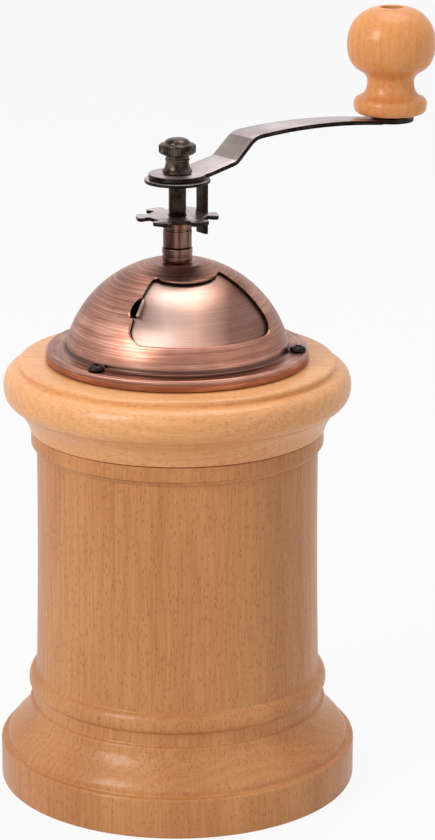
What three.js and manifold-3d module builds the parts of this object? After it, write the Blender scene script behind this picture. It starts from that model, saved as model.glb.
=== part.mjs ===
// Manual coffee grinder: a turned beech column with a lift-off head, a domed hopper with a sliding
// hatch, a conical burr mill below it, and a crank with a turned knob on top.
// Units are millimetres. The origin is the middle of the base, +Z is up and -Y is the front.

import * as THREE from 'three';
import { mergeVertices } from 'three/addons/utils/BufferGeometryUtils.js';
import Module from 'manifold-3d';

const wasm = await Module();
wasm.setup();

// Clearances
const seatGap = 0.3; // between pieces that rest on or pass each other
const runningGap = 0.2; // radial, round a turning shaft
const slideGap = 0.4; // between the dome and the shutter that slides inside it

// Wooden column
const columnHeight = 120.9;
const plinthRadius = 59.2;
const plinthHeight = 13.5;
const plinthEdge = 0.7; // bevel of the plinth's two edges
const shoulderRadius = 57.0;
const shoulderRise = 1.1;
const ogeeTopRadius = 49.5;
const ogeeHeight = 12.2;
const neckRadius = 48.2;
const neckHeight = 5.0;
const astragalRadius = 49.5;
const astragalHeight = 6.2;
const shaftFootRadius = 47.1;
const waistRadius = 46.0;
const collarRadius = 47.9;
const collarHeight = 5.2;
const collarCove = 1.6; // height of the cove below the collar
const cavityRadius = 38.0;
const cavityCorner = 6.0;
const floorThickness = 14.0;

// Wooden head ring, heights above its own lower face
const headHeight = 22.4;
const headFootRadius = 48.25;
const coveTopRadius = 53.2;
const coveHeight = 8.2;
const torusRadius = 56.65;
const torusMiddle = 13.8;
const grooveRadius = 51.5;
const grooveHeight = 20.2;
const topEdgeRadius = 52.0;
const headBoreInset = 0.956; // of the head's bore inside the dome's foot
const landHeight = 1.6; // of the raised land that the dome's skirt fits over
const spigotRadius = 40.9;
const spigotLength = 8.4;

// Dome, pressed from sheet with a flange, a skirt and a neck
const domeRadius = 37.4;
const domeWall = 1.0;
const domeCentreDrop = 7.9; // from the flange's top face down to the centre of the sphere
const flangeWidth = 6.2; // from the dome's foot to the flange's edge
const flangeEdge = 1.2; // rounding between flange and skirt
const skirtHeight = 3.7;
const neckFlareAngle = 14; // degrees from the pole, where the crown leaves the sphere
const neckTopRadius = 4.8;
const neckDrop = 0.7; // of the neck's rim below the top of the whole sphere

// Hatch in the dome, azimuth from the front and polar angle from the pole, degrees
const hatchLeft = -28.5;
const hatchRight = 68;
const hatchTopLeft = 24.3;
const hatchTopRight = 22.6;
const hatchTopSag = 3.9; // of the upper edge's middle below the line between its corners
const hatchBottom = 64;
const hatchCornerAngle = 10; // polar size of the lower corners
const hatchTopCornerAngle = 2; // the same of the upper corners
const gripMiddleAngle = 44.8; // polar angle of the finger recess in the left edge
const gripHalfAngle = 5.8;
const gripDepthAngle = 4.4;

// Shutter that slides round inside the dome
const shutterWall = 0.8;
const shutterMargin = 6; // degrees that it reaches past the hatch's sides
const shutterLowerMargin = 5; // degrees that it reaches below the hatch
const shutterRingAngle = 16; // degrees from the pole, rim of the ring round the bush
const tabWidth = 0.9;
const tabHeight = 1.9; // that the tab stands out of the shutter

// Flange screws
const screwFootGap = 0.3; // between the screws' heads and the dome's foot
const firstScrewAzimuth = -39.5;
const screwCount = 3;
const screwRadius = 1.4;
const screwHeadRadius = 2.7;
const screwHeadHeight = 1.7;
const screwLength = 14;
const crossSlotWidth = 0.8;
const crossSlotDepth = 0.9;

// Hopper bowl
const bowlWall = 1.2;
const bowlFlangeThickness = 0.8;
const bowlStraightDepth = 13.0; // from the flange to where the funnel starts
const bowlDepth = 32.5; // from the flange to the floor's upper face
const bowlFloorRadius = 25.0;
const bowlFloorThickness = 2.0;
const throatInset = 6.1; // from the floor's edge to the throat

// Burrs
const ringBurrInset = 1.0; // of the ring burr's and the bridge's ends inside the bowl's floor
const ringBurrHeight = 17.6;
const ringBurrTopWall = 7.1; // from its outside to the tips of the teeth, as below
const ringBurrLowWall = 4.8;
const grindGap = 0.9; // radial, between the burrs at the ring's lower edge
const coneBurrTopRadius = 9.2;
const coneBurrOverhang = 1.6; // of the cone below the ring
const coneBurrRise = 1.2; // of the cone above the ring
const toothDepth = 0.9;
const toothLean = 0.6; // 0 for even teeth, towards 1 for a steep flank
const bladeDepth = 2.6;
const bladeRunOut = 0.25; // share of the height, from below, without blades
const toothCount = 24;
const bladeCount = 8;
const toothTwist = 34; // degrees over the burr's height

// Lower guide
const bridgeWidth = 9.0;
const bridgeThickness = 2.2;
const bridgeRise = 12.0;
const bridgeFlat = 6.8; // half length of the raised middle, whose bends lie under the hub's rim
const bridgeFootLength = 5.6;
const bridgeHubRadius = 7.2;
const bridgeHubHeight = 4.0;
const guideBushRadius = 4.6;
const guideFlangeRadius = 6.6;
const guideFlangeThickness = 1.4;
const bridgeScrewInset = 2.5; // from the bridge's end to its screws' axes
const bridgeScrewLength = 10;

// Upper bush
const bushRadius = 4.9;
const bushRingHeight = 3.9;
const bushEdge = 0.25; // bevel of the ring's upper edge
const bushSleeveRadius = 3.9;
const bushNutAcross = 13.0;
const bushNutHeight = 2.0;

// Shaft
const shaftRadius = 2.9;
const upperShaftRadius = 2.8;
const threadLength = 12.0; // of the thick threaded part above the bush
const flattedRadius = 2.4;
const flatHalfWidth = 1.8;
const studRadius = 1.7; // under the flats, so that the arm passes over it
const studLength = 7.2;
const burrSeatHalfWidth = 2.2;

// Star nut that sets the grind
const starHubRadius = 4.65;
const starHubHeight = 8.9;
const starPlateRadius = 13.3;
const starPlateThickness = 1.3;
const starLobes = 6;
const starNotchFloor = 9.2;
const starLobeCorner = 1.3;
const starFlare = 1.0;

// Stopper plate, with the claw that locks the star nut
const stopperRadius = 10.6;
const stopperThickness = 1.1;
const stopperHeight = 10.8; // of its lower face above the star plate
const clawWidth = 5.2;
const clawThickness = 1.1;
const clawReach = 18.1; // from the stopper's lower face to the claw's tip

// Crank
const crankAzimuth = 38; // degrees from +X towards +Y
const crankRadius = 89.8;
const armThickness = 1.5;
const armHubRadius = 9.3;
const armHubWidth = 13.2; // where the strip leaves the hub
const armEndWidth = 9.6; // where it meets the round end
const armEndRadius = 8.0;
const armLevelEnd = 6.2; // distance from the shaft where the hub stops being level
const armRampEnd = 19.4; // distance of the first bend from the shaft
const armRampRise = 2.65;
const armStepLength = 7.8; // of the steep part
const armStepRise = 7.15;
const armArch = 1.45; // rise of the long part's middle over its ends
const armEndDrop = 1.5; // of the knob's end below the second bend
const armSeatLength = 8.0; // of the level seat on the shaft's side of the knob's axis

// Thumb nut
const nutFootRadius = 4.8;
const nutWaistRadius = 3.75;
const nutHeadRadius = 5.95;
const nutNeckHeight = 6.2; // from the foot to the head
const nutHeadHeight = 3.0;
const nutCrown = 2.0;
const nutKnurls = 14;
const nutKnurlDepth = 0.35;

// Knob
const knobHeight = 35.7;
const knobFootRadius = 12.4;
const knobFootHeight = 5.2;
const knobWaistRadius = 7.85;
const knobWaistHeight = 10.8;
const knobBallRadius = 14.85;
const knobBallMiddle = 23.6;
const knobEyeRadius = 3.8; // counterbore in the top
const knobEyeDepth = 5.0;
const knobWasherRadius = 6.5;
const knobWasherThickness = 0.5;
const axleRadius = 2.2;
const axleHeadRadius = 3.3;
const axleHeadHeight = 2.2;
const rivetRadius = 2.9;
const rivetHeight = 1.0;

// Spring and its washer
const springRadius = 4.75; // to the middle of the wire
const springWire = 1.0;
const springTurns = 4;
const springWasherRadius = 6.2;
const springWasherThickness = 1.1;

// Fastening of the cone burr
const burrWasherRadius = 7.0;
const burrWasherThickness = 1.2;
const burrNutAcross = 10.0;
const burrNutHeight = 4.0;
const shaftTail = 1.5; // of the shaft below the nut

// Faceting
const turnedSegments = 32;
const smallSegments = 18;
const screwSegments = 10;
const curveSteps = 4;
const sphereSteps = 8;

// Colours from the photograph
const beech = new THREE.MeshStandardMaterial({ color: 0xd9a066, roughness: 0.5, metalness: 0 });
const copper = new THREE.MeshStandardMaterial({ color: 0xb0765a, roughness: 0.32, metalness: 1 });
const darkBronze = new THREE.MeshStandardMaterial({ color: 0x3f2c25, roughness: 0.4, metalness: 1 });
const armSteel = new THREE.MeshStandardMaterial({ color: 0xc0a8a4, roughness: 0.3, metalness: 1 });
const burrSteel = new THREE.MeshStandardMaterial({ color: 0x6f7073, roughness: 0.5, metalness: 1 });
const brightSteel = new THREE.MeshStandardMaterial({ color: 0xb9bcc0, roughness: 0.35, metalness: 1 });
const brass = new THREE.MeshStandardMaterial({ color: 0xc9a24b, roughness: 0.4, metalness: 1 });

const radians = THREE.MathUtils.degToRad;

// Heights of the assembly, worked out from the pieces below
const headBase = columnHeight + seatGap;
const headTop = headBase + headHeight;
const landTop = headTop + landHeight;
const flangeTop = headTop + seatGap + skirtHeight;
const sphereCentre = flangeTop - domeCentreDrop;
const domeFootRadius = Math.sqrt(domeRadius ** 2 - domeCentreDrop ** 2);
const flangeRadius = domeFootRadius + flangeWidth;
const headBoreRadius = domeFootRadius - headBoreInset;
const landRadius = flangeRadius - domeWall - seatGap;
const screwCircle = domeFootRadius + screwFootGap + screwHeadRadius;
const crownTop = sphereCentre + domeRadius;
const bowlFlangeTop = landTop + seatGap + bowlFlangeThickness;
const bowlFloorTop = bowlFlangeTop - bowlDepth;
const throatRadius = bowlFloorRadius - throatInset;
const ringBurrRadius = bowlFloorRadius - ringBurrInset;
const ringBurrTopRadius = ringBurrRadius - ringBurrTopWall;
const ringBurrLowRadius = ringBurrRadius - ringBurrLowWall;
const bridgeScrewCircle = ringBurrRadius - bridgeScrewInset;
const ringBurrTop = bowlFloorTop - bowlFloorThickness - seatGap;
const ringBurrLow = ringBurrTop - ringBurrHeight;
const coneBurrTop = ringBurrTop + coneBurrRise;
const coneBurrLow = ringBurrLow - coneBurrOverhang;
const bridgeFoot = bowlFloorTop + seatGap;
const bridgeTop = bridgeFoot + bridgeRise + bridgeThickness;
const bridgeHubLow = bridgeTop - bridgeHubHeight;
const springSeat = coneBurrTop + seatGap + springWasherThickness;
const bushRingLow = crownTop - neckDrop + seatGap;
const bushTop = bushRingLow + bushRingHeight;
const shutterRadius = domeRadius - domeWall - slideGap;
const starLow = bushTop + seatGap;
const starPlateTop = starLow + starHubHeight + starPlateThickness;
const stopperLow = starPlateTop + stopperHeight;
const armLow = stopperLow + stopperThickness + seatGap;
const armTop = armLow + armThickness;
const nutLow = armTop + seatGap;
const armEndTop = armTop + armRampRise + armStepRise - armEndDrop;
const knobBase = armEndTop + knobWasherThickness + 2 * seatGap;

// Welds a geometry's corners, drops collapsed faces and gives it back as a solid facing outwards.
function solid(geometry) {
  const bare = new THREE.BufferGeometry();
  bare.setAttribute('position', geometry.getAttribute('position'));
  bare.setIndex(geometry.index);
  const welded = mergeVertices(bare, 1e-4);
  const position = welded.getAttribute('position');
  const index = welded.getIndex();
  const corners = [];
  let volume = 0;
  const [a, b, c] = [new THREE.Vector3(), new THREE.Vector3(), new THREE.Vector3()];
  for (let i = 0; i < index.count; i += 3) {
    const face = [index.getX(i), index.getX(i + 1), index.getX(i + 2)];
    if (new Set(face).size < 3) continue;
    corners.push(...face);
    a.fromBufferAttribute(position, face[0]);
    b.fromBufferAttribute(position, face[1]);
    c.fromBufferAttribute(position, face[2]);
    volume += a.dot(b.cross(c));
  }
  if (volume < 0) corners.reverse();
  const mesh = new wasm.Mesh({
    numProp: 3,
    vertProperties: new Float32Array(position.array),
    triVerts: new Uint32Array(corners),
  });
  return new wasm.Manifold(mesh);
}

// Revolves an outline of (radius, height) points about the Z axis.
function turned(outline, segments = turnedSegments, steps = curveSteps) {
  const geometry = new THREE.LatheGeometry(outline.getPoints(steps), segments);
  geometry.rotateX(Math.PI / 2);
  return solid(geometry);
}

// A round bar or disc along Z.
function drum(radius, low, high, segments = smallSegments) {
  const geometry = new THREE.CylinderGeometry(radius, radius, high - low, segments);
  geometry.rotateX(Math.PI / 2);
  geometry.translate(0, 0, (low + high) / 2);
  return solid(geometry);
}

// A box given by its two opposite corners.
function block(low, high) {
  const size = high.map((value, axis) => value - low[axis]);
  const geometry = new THREE.BoxGeometry(...size);
  geometry.translate(...low.map((value, axis) => value + size[axis] / 2));
  return solid(geometry);
}

// Extrudes an outline in the XY plane from one height to another.
function plate(outline, low, high, arcSteps = 5) {
  const options = { depth: high - low, bevelEnabled: false, curveSegments: arcSteps };
  const geometry = new THREE.ExtrudeGeometry(outline, options);
  geometry.translate(0, 0, low);
  return solid(geometry);
}

// A regular hexagon's outline, given the size across its flats.
function hexagon(across) {
  const corner = new THREE.Vector2(across / Math.sqrt(3), 0);
  const centre = new THREE.Vector2();
  const sides = [0, 1, 2, 3, 4, 5];
  return new THREE.Shape(sides.map((side) => corner.clone().rotateAround(centre, side * radians(60))));
}

// A circle with two flats, the section that keys a piece to the shaft.
function flattedCircle(radius, halfWidth) {
  const reach = Math.asin(halfWidth / radius);
  const outline = new THREE.Shape();
  outline.absarc(0, 0, radius, -reach, reach, false);
  outline.absarc(0, 0, radius, Math.PI - reach, Math.PI + reach, false);
  outline.closePath();
  return outline;
}

// Moves a solid to a place on a circle round the Z axis, azimuth counted from the front.
function atAzimuth(piece, circle, azimuth) {
  const angle = radians(azimuth);
  return piece.translate([circle * Math.sin(angle), -circle * Math.cos(angle), 0]);
}

// Turns a finished solid into a named mesh with a material of its own.
function node(name, piece, material) {
  const mesh = piece.getMesh();
  const geometry = new THREE.BufferGeometry();
  geometry.setAttribute('position', new THREE.BufferAttribute(mesh.vertProperties, 3));
  geometry.setIndex(new THREE.BufferAttribute(mesh.triVerts, 1));
  geometry.computeVertexNormals();
  const object = new THREE.Mesh(geometry, material.clone());
  object.material.flatShading = true;
  object.name = name;
  return object;
}

// The column and its base are one turning, bored out from above to catch the grounds.
function column() {
  const ogeeFoot = plinthHeight + shoulderRise;
  const ogeeTop = ogeeFoot + ogeeHeight;
  const astragalLow = ogeeTop + neckHeight;
  const astragalTop = astragalLow + astragalHeight;
  const collarLow = columnHeight - collarHeight;
  const socketRadius = spigotRadius + seatGap;
  const socketFloor = columnHeight - spigotLength - seatGap;
  const outline = new THREE.Path();
  outline.moveTo(0, 0);
  outline.lineTo(plinthRadius - plinthEdge, 0);
  outline.lineTo(plinthRadius, plinthEdge);
  outline.lineTo(plinthRadius, plinthHeight - plinthEdge);
  outline.lineTo(plinthRadius - plinthEdge, plinthHeight);
  outline.lineTo(shoulderRadius, ogeeFoot);
  outline.bezierCurveTo(
    shoulderRadius - 0.3, ogeeFoot + ogeeHeight * 0.25,
    ogeeTopRadius + 0.3, ogeeTop - ogeeHeight * 0.45,
    ogeeTopRadius, ogeeTop,
  );
  outline.lineTo(neckRadius, ogeeTop + 0.8);
  outline.lineTo(neckRadius, astragalLow);
  outline.bezierCurveTo(
    astragalRadius + 0.5, astragalLow + astragalHeight * 0.1,
    astragalRadius + 0.5, astragalTop - astragalHeight * 0.15,
    shaftFootRadius, astragalTop,
  );
  outline.quadraticCurveTo(
    waistRadius - 0.1, (astragalTop + collarLow) / 2,
    waistRadius + 0.1, collarLow - collarCove,
  );
  outline.quadraticCurveTo(waistRadius + 0.2, collarLow, collarRadius, collarLow);
  outline.lineTo(collarRadius, columnHeight);
  outline.lineTo(socketRadius, columnHeight);
  outline.lineTo(socketRadius, socketFloor);
  outline.lineTo(cavityRadius, socketFloor);
  outline.lineTo(cavityRadius, floorThickness + cavityCorner);
  outline.quadraticCurveTo(
    cavityRadius, floorThickness,
    cavityRadius - cavityCorner, floorThickness,
  );
  outline.lineTo(0, floorThickness);
  return turned(outline);
}

// The moulded ring that carries the dome, with the spigot that drops into the column.
function headRing() {
  const torusLow = headBase + coveHeight;
  const outline = new THREE.Path();
  outline.moveTo(headBoreRadius, headBase - spigotLength);
  outline.lineTo(spigotRadius - 0.6, headBase - spigotLength);
  outline.lineTo(spigotRadius, headBase - spigotLength + 0.6);
  outline.lineTo(spigotRadius, headBase);
  outline.lineTo(headFootRadius, headBase);
  outline.bezierCurveTo(
    headFootRadius + 0.8, headBase + coveHeight * 0.4,
    coveTopRadius - 2.2, torusLow - 1.6,
    coveTopRadius, torusLow,
  );
  outline.lineTo(coveTopRadius + 0.5, torusLow + 0.3);
  outline.quadraticCurveTo(torusRadius, torusLow + 1.6, torusRadius, headBase + torusMiddle);
  outline.quadraticCurveTo(
    torusRadius, headBase + grooveHeight - 0.9,
    grooveRadius, headBase + grooveHeight,
  );
  outline.quadraticCurveTo(topEdgeRadius + 0.2, headTop, topEdgeRadius - 1.8, headTop);
  outline.lineTo(landRadius, headTop);
  outline.lineTo(landRadius, landTop);
  outline.lineTo(headBoreRadius, landTop);
  outline.closePath();
  let ring = turned(outline);
  const holeRadius = screwRadius + seatGap;
  const holeLow = flangeTop + seatGap - screwLength - 0.8;
  for (let screw = 0; screw < screwCount; screw += 1) {
    const hole = drum(holeRadius, holeLow, landTop + 1, screwSegments);
    ring = ring.subtract(atAzimuth(hole, screwCircle, screwAzimuth(screw)));
  }
  return ring;
}

function screwAzimuth(screw) {
  return firstScrewAzimuth + (screw * 360) / screwCount;
}

// A point on a sphere about the dome's centre: azimuth from the front and polar angle in degrees.
function onSphere(radius, azimuth, polar) {
  const level = radius * Math.sin(radians(polar));
  return [
    level * Math.sin(radians(azimuth)),
    -level * Math.cos(radians(azimuth)),
    sphereCentre + radius * Math.cos(radians(polar)),
  ];
}

// A cutter whose walls run radially from the dome's centre along an outline in degrees.
function radialCutter(outline, nearRadius, farRadius) {
  const points = outline.getPoints(curveSteps);
  if (points[0].distanceTo(points[points.length - 1]) < 1e-6) points.pop();
  const count = points.length;
  const positions = [];
  for (const radius of [nearRadius, farRadius]) {
    for (const point of points) positions.push(...onSphere(radius, point.x, point.y));
  }
  const faces = [];
  for (let i = 0; i < count; i += 1) {
    const next = (i + 1) % count;
    faces.push(i, next, count + next, i, count + next, count + i);
  }
  for (const [a, b, c] of THREE.ShapeUtils.triangulateShape(points, [])) {
    faces.push(c, b, a, count + a, count + b, count + c);
  }
  const geometry = new THREE.BufferGeometry();
  geometry.setAttribute('position', new THREE.Float32BufferAttribute(positions, 3));
  geometry.setIndex(faces);
  return solid(geometry);
}

// The polar angle of the hatch's sagging upper edge at an azimuth, in degrees.
function hatchTopEdge(azimuth) {
  const across = (azimuth - hatchLeft) / (hatchRight - hatchLeft);
  const sag = 4 * hatchTopSag * across * (1 - across);
  return hatchTopLeft + (hatchTopRight - hatchTopLeft) * across + sag;
}

// The hatch's outline in degrees, with a half-round finger recess in its left edge.
function hatchOutline() {
  const lowerReach = hatchCornerAngle / Math.sin(radians(hatchBottom));
  const topReach = hatchTopCornerAngle / Math.sin(radians(hatchTopRight));
  const outline = new THREE.Shape();
  outline.moveTo(hatchLeft + topReach, hatchTopEdge(hatchLeft + topReach));
  const topSteps = 8;
  for (let step = 1; step < topSteps; step += 1) {
    const azimuth = hatchLeft + ((hatchRight - hatchLeft) * step) / topSteps;
    outline.lineTo(azimuth, hatchTopEdge(azimuth));
  }
  outline.lineTo(hatchRight - topReach, hatchTopEdge(hatchRight - topReach));
  outline.quadraticCurveTo(
    hatchRight, hatchTopRight,
    hatchRight, hatchTopRight + hatchTopCornerAngle,
  );
  outline.lineTo(hatchRight, hatchBottom - hatchCornerAngle);
  outline.quadraticCurveTo(hatchRight, hatchBottom, hatchRight - lowerReach, hatchBottom);
  for (let step = topSteps - 1; step > 0; step -= 1) {
    const azimuth = hatchLeft + ((hatchRight - hatchLeft) * step) / topSteps;
    if (azimuth < hatchRight - lowerReach - 1 && azimuth > hatchLeft + lowerReach + 1) {
      outline.lineTo(azimuth, hatchBottom);
    }
  }
  outline.lineTo(hatchLeft + lowerReach, hatchBottom);
  outline.quadraticCurveTo(hatchLeft, hatchBottom, hatchLeft, hatchBottom - hatchCornerAngle);
  outline.lineTo(hatchLeft, gripMiddleAngle + gripHalfAngle);
  outline.absellipse(
    hatchLeft, gripMiddleAngle, gripDepthAngle, gripHalfAngle,
    Math.PI / 2, (3 * Math.PI) / 2, false,
  );
  outline.lineTo(hatchLeft, hatchTopLeft + hatchTopCornerAngle);
  outline.quadraticCurveTo(
    hatchLeft, hatchTopLeft,
    hatchLeft + topReach, hatchTopEdge(hatchLeft + topReach),
  );
  return outline;
}

// The dome: a spherical shell with a flared neck, a flat flange and a short skirt.
function dome() {
  const innerRadius = domeRadius - domeWall;
  const flare = radians(neckFlareAngle);
  const flareRadius = domeRadius * Math.sin(flare);
  const flareHeight = sphereCentre + domeRadius * Math.cos(flare);
  const footAngle = Math.asin(domeCentreDrop / domeRadius);
  const innerFoot = flangeTop - domeWall;
  const innerFootAngle = Math.asin((innerFoot - sphereCentre) / innerRadius);
  const sleeveHole = bushSleeveRadius + seatGap;
  const sleeveAngle = Math.acos(sleeveHole / innerRadius);
  const rim = crownTop - neckDrop;
  const outline = new THREE.Path();
  outline.moveTo(sleeveHole, rim);
  outline.lineTo(neckTopRadius, rim);
  outline.bezierCurveTo(
    neckTopRadius + 0.4, rim - 0.4,
    flareRadius - 2.4, flareHeight + 0.1,
    flareRadius, flareHeight,
  );
  addSphereArc(outline, domeRadius, Math.PI / 2 - flare, footAngle);
  outline.lineTo(flangeRadius - flangeEdge, flangeTop);
  outline.quadraticCurveTo(flangeRadius, flangeTop, flangeRadius, flangeTop - flangeEdge);
  outline.lineTo(flangeRadius, flangeTop - skirtHeight);
  outline.lineTo(flangeRadius - domeWall, flangeTop - skirtHeight);
  outline.lineTo(flangeRadius - domeWall, innerFoot);
  outline.lineTo(innerRadius * Math.cos(innerFootAngle), innerFoot);
  addSphereArc(outline, innerRadius, innerFootAngle, sleeveAngle);
  outline.closePath();
  let shell = turned(outline);
  shell = shell.subtract(radialCutter(hatchOutline(), innerRadius / 4, domeRadius * 2.5));
  for (let screw = 0; screw < screwCount; screw += 1) {
    const hole = drum(screwRadius + seatGap, innerFoot - 1, flangeTop + 1, screwSegments);
    shell = shell.subtract(atAzimuth(hole, screwCircle, screwAzimuth(screw)));
  }
  return shell;
}

// Adds an arc of the sphere to a turned outline, between two angles above the sphere's middle.
function addSphereArc(outline, radius, from, to) {
  for (let step = 0; step <= sphereSteps; step += 1) {
    const angle = from + ((to - from) * step) / sphereSteps;
    outline.lineTo(radius * Math.cos(angle), sphereCentre + radius * Math.sin(angle));
  }
}

// The shutter: a sector of a thinner sphere on a ring that turns round the bush, with a bent tab.
function shutter() {
  const innerRadius = shutterRadius - shutterWall;
  const hole = bushSleeveRadius + seatGap;
  const lowest = Math.PI / 2 - radians(hatchBottom + shutterLowerMargin);
  const outline = new THREE.Path();
  const top = Math.acos(hole / shutterRadius);
  outline.moveTo(hole, sphereCentre + shutterRadius * Math.sin(top));
  addSphereArc(outline, shutterRadius, top, lowest);
  addSphereArc(outline, innerRadius, lowest, Math.acos(hole / innerRadius));
  outline.closePath();
  const shell = turned(outline);
  const left = hatchLeft - shutterMargin - gripDepthAngle / 2;
  const right = hatchRight + shutterMargin;
  const tabAzimuth = hatchLeft + 2.0;
  const tabLow = gripMiddleAngle + gripHalfAngle - 0.8;
  const tabHigh = gripMiddleAngle - gripHalfAngle + 0.8;
  const lance = new THREE.Shape();
  lance.moveTo(left - 2, tabHigh);
  lance.lineTo(tabAzimuth, tabHigh);
  lance.lineTo(tabAzimuth, tabLow);
  lance.lineTo(left - 2, tabLow);
  lance.closePath();
  const tabTurn = (tabWidth / shutterRadius / Math.sin(radians(gripMiddleAngle))) * (180 / Math.PI);
  const tab = new THREE.Shape();
  tab.moveTo(tabAzimuth - 0.01, tabHigh);
  tab.lineTo(tabAzimuth + tabTurn, tabHigh);
  tab.lineTo(tabAzimuth + tabTurn, tabLow);
  tab.lineTo(tabAzimuth - 0.01, tabLow);
  tab.closePath();
  return shell
    .subtract(sectorCutter(right, 360 - (right - left)))
    .subtract(radialCutter(lance, innerRadius - 5, shutterRadius + 5))
    .add(radialCutter(tab, innerRadius + 0.1, shutterRadius + tabHeight));
}

// A wedge about the Z axis from an azimuth on, that spares a ring near the pole.
function sectorCutter(from, turn) {
  const reach = domeRadius + 20;
  const steps = 12;
  const sector = new THREE.Shape();
  const ringRadius = shutterRadius * Math.sin(radians(shutterRingAngle));
  const pointAt = (radius, azimuth) => [
    radius * Math.sin(radians(azimuth)),
    -radius * Math.cos(radians(azimuth)),
  ];
  sector.moveTo(...pointAt(ringRadius, from));
  for (let step = 1; step <= steps; step += 1) {
    sector.lineTo(...pointAt(ringRadius, from + (turn * step) / steps));
  }
  for (let step = steps; step >= 0; step -= 1) {
    sector.lineTo(...pointAt(reach, from + (turn * step) / steps));
  }
  sector.closePath();
  return plate(sector, sphereCentre - 10, crownTop + 20);
}

// A pan-head screw with a cross recess, its head's underside at a given height.
function crossScrew(headLow, length) {
  const outline = new THREE.Path();
  outline.moveTo(0, headLow - length);
  outline.lineTo(screwRadius * 0.6, headLow - length);
  outline.lineTo(screwRadius, headLow - length + 1.2);
  outline.lineTo(screwRadius, headLow);
  outline.lineTo(screwHeadRadius, headLow);
  outline.lineTo(screwHeadRadius, headLow + screwHeadHeight * 0.35);
  outline.quadraticCurveTo(
    screwHeadRadius * 0.85, headLow + screwHeadHeight,
    0, headLow + screwHeadHeight,
  );
  const slotHalf = crossSlotWidth / 2;
  const reach = screwHeadRadius * 0.6;
  const slotLow = headLow + screwHeadHeight - crossSlotDepth;
  const slotTop = headLow + screwHeadHeight + 1;
  return turned(outline, screwSegments, 2)
    .subtract(block([-reach, -slotHalf, slotLow], [reach, slotHalf, slotTop]))
    .subtract(block([-slotHalf, -reach, slotLow], [slotHalf, reach, slotTop]));
}

// The flanged sleeve that carries the shaft in the dome's neck.
function topBush() {
  const bore = shaftRadius + runningGap;
  const sleeveLow = sphereCentre + shutterRadius - shutterWall - bushNutHeight - 2.2;
  const outline = new THREE.Path();
  outline.moveTo(bore, sleeveLow);
  outline.lineTo(bushSleeveRadius, sleeveLow);
  outline.lineTo(bushSleeveRadius, bushRingLow);
  outline.lineTo(bushRadius, bushRingLow);
  outline.lineTo(bushRadius, bushTop - bushEdge);
  outline.lineTo(bushRadius - bushEdge, bushTop);
  outline.lineTo(bore, bushTop);
  outline.closePath();
  return turned(outline, smallSegments);
}

// The flat nut under the shutter's ring that clamps the bush in the dome.
function bushNut() {
  const edge = bushNutAcross / Math.sqrt(3);
  const shutterInner = shutterRadius - shutterWall;
  const top = sphereCentre + Math.sqrt(shutterInner ** 2 - edge ** 2) - seatGap;
  return plate(hexagon(bushNutAcross), top - bushNutHeight, top)
    .subtract(drum(bushSleeveRadius + seatGap / 2, top - bushNutHeight - 1, top + 1));
}

// The funnel under the dome, clamped by its rim between the dome and the wood.
function hopperBowl() {
  const wallRadius = headBoreRadius - seatGap;
  const innerWall = wallRadius - bowlWall;
  const flangeLow = bowlFlangeTop - bowlFlangeThickness;
  const coneTop = bowlFlangeTop - bowlStraightDepth;
  const floorLow = bowlFloorTop - bowlFloorThickness;
  const outerFoot = bowlFloorRadius + bowlWall;
  const outline = new THREE.Path();
  outline.moveTo(throatRadius, floorLow);
  outline.lineTo(outerFoot, floorLow);
  outline.lineTo(outerFoot, bowlFloorTop);
  outline.lineTo(wallRadius, coneTop);
  outline.lineTo(wallRadius, flangeLow);
  outline.lineTo(landRadius, flangeLow);
  outline.lineTo(landRadius, bowlFlangeTop);
  outline.lineTo(innerWall, bowlFlangeTop);
  outline.lineTo(innerWall, coneTop);
  outline.lineTo(bowlFloorRadius, bowlFloorTop);
  outline.lineTo(throatRadius, bowlFloorTop);
  outline.closePath();
  let bowl = turned(outline);
  for (let screw = 0; screw < screwCount; screw += 1) {
    const hole = drum(screwRadius + seatGap, flangeLow - 1, bowlFlangeTop + 1, screwSegments);
    bowl = bowl.subtract(atAzimuth(hole, screwCircle, screwAzimuth(screw)));
  }
  for (const side of [-1, 1]) {
    const hole = drum(screwRadius + seatGap, floorLow - 1, bowlFloorTop + 1, screwSegments);
    bowl = bowl.subtract(hole.translate([side * bridgeScrewCircle, 0, 0]));
  }
  return bowl;
}

// A cone with two sets of helical saw teeth: fine ones, and deep blades that run out downwards.
// The teeth are cut into the cone, or stand outside it where it is the tool for a hollow burr.
function toothedCone(low, high, lowRadius, highRadius, hollow) {
  const samples = toothCount * 2;
  const rows = 6;
  const positions = [];
  for (let row = 0; row <= rows; row += 1) {
    const rise = row / rows;
    const height = low + (high - low) * rise;
    const tips = lowRadius + (highRadius - lowRadius) * rise;
    const twist = radians(toothTwist) * rise;
    const blade = bladeDepth * Math.max(0, rise - bladeRunOut);
    for (let sample = 0; sample < samples; sample += 1) {
      const turn = (sample + (sample % 2) * toothLean) / samples;
      const saw = (turn * toothCount) % 1;
      const bladeSaw = (turn * bladeCount) % 1;
      const depth = toothDepth * saw + blade * bladeSaw;
      const radius = hollow ? tips + depth : tips - depth;
      const angle = 2 * Math.PI * turn + twist;
      positions.push(radius * Math.cos(angle), radius * Math.sin(angle), height);
    }
  }
  const lowCentre = positions.length / 3;
  positions.push(0, 0, low, 0, 0, high);
  const faces = [];
  for (let sample = 0; sample < samples; sample += 1) {
    const next = (sample + 1) % samples;
    for (let row = 0; row < rows; row += 1) {
      const under = row * samples;
      const over = under + samples;
      faces.push(under + sample, under + next, over + next);
      faces.push(under + sample, over + next, over + sample);
    }
    faces.push(lowCentre, next, sample);
    faces.push(lowCentre + 1, rows * samples + sample, rows * samples + next);
  }
  const geometry = new THREE.BufferGeometry();
  geometry.setAttribute('position', new THREE.Float32BufferAttribute(positions, 3));
  geometry.setIndex(faces);
  return solid(geometry);
}

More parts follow.
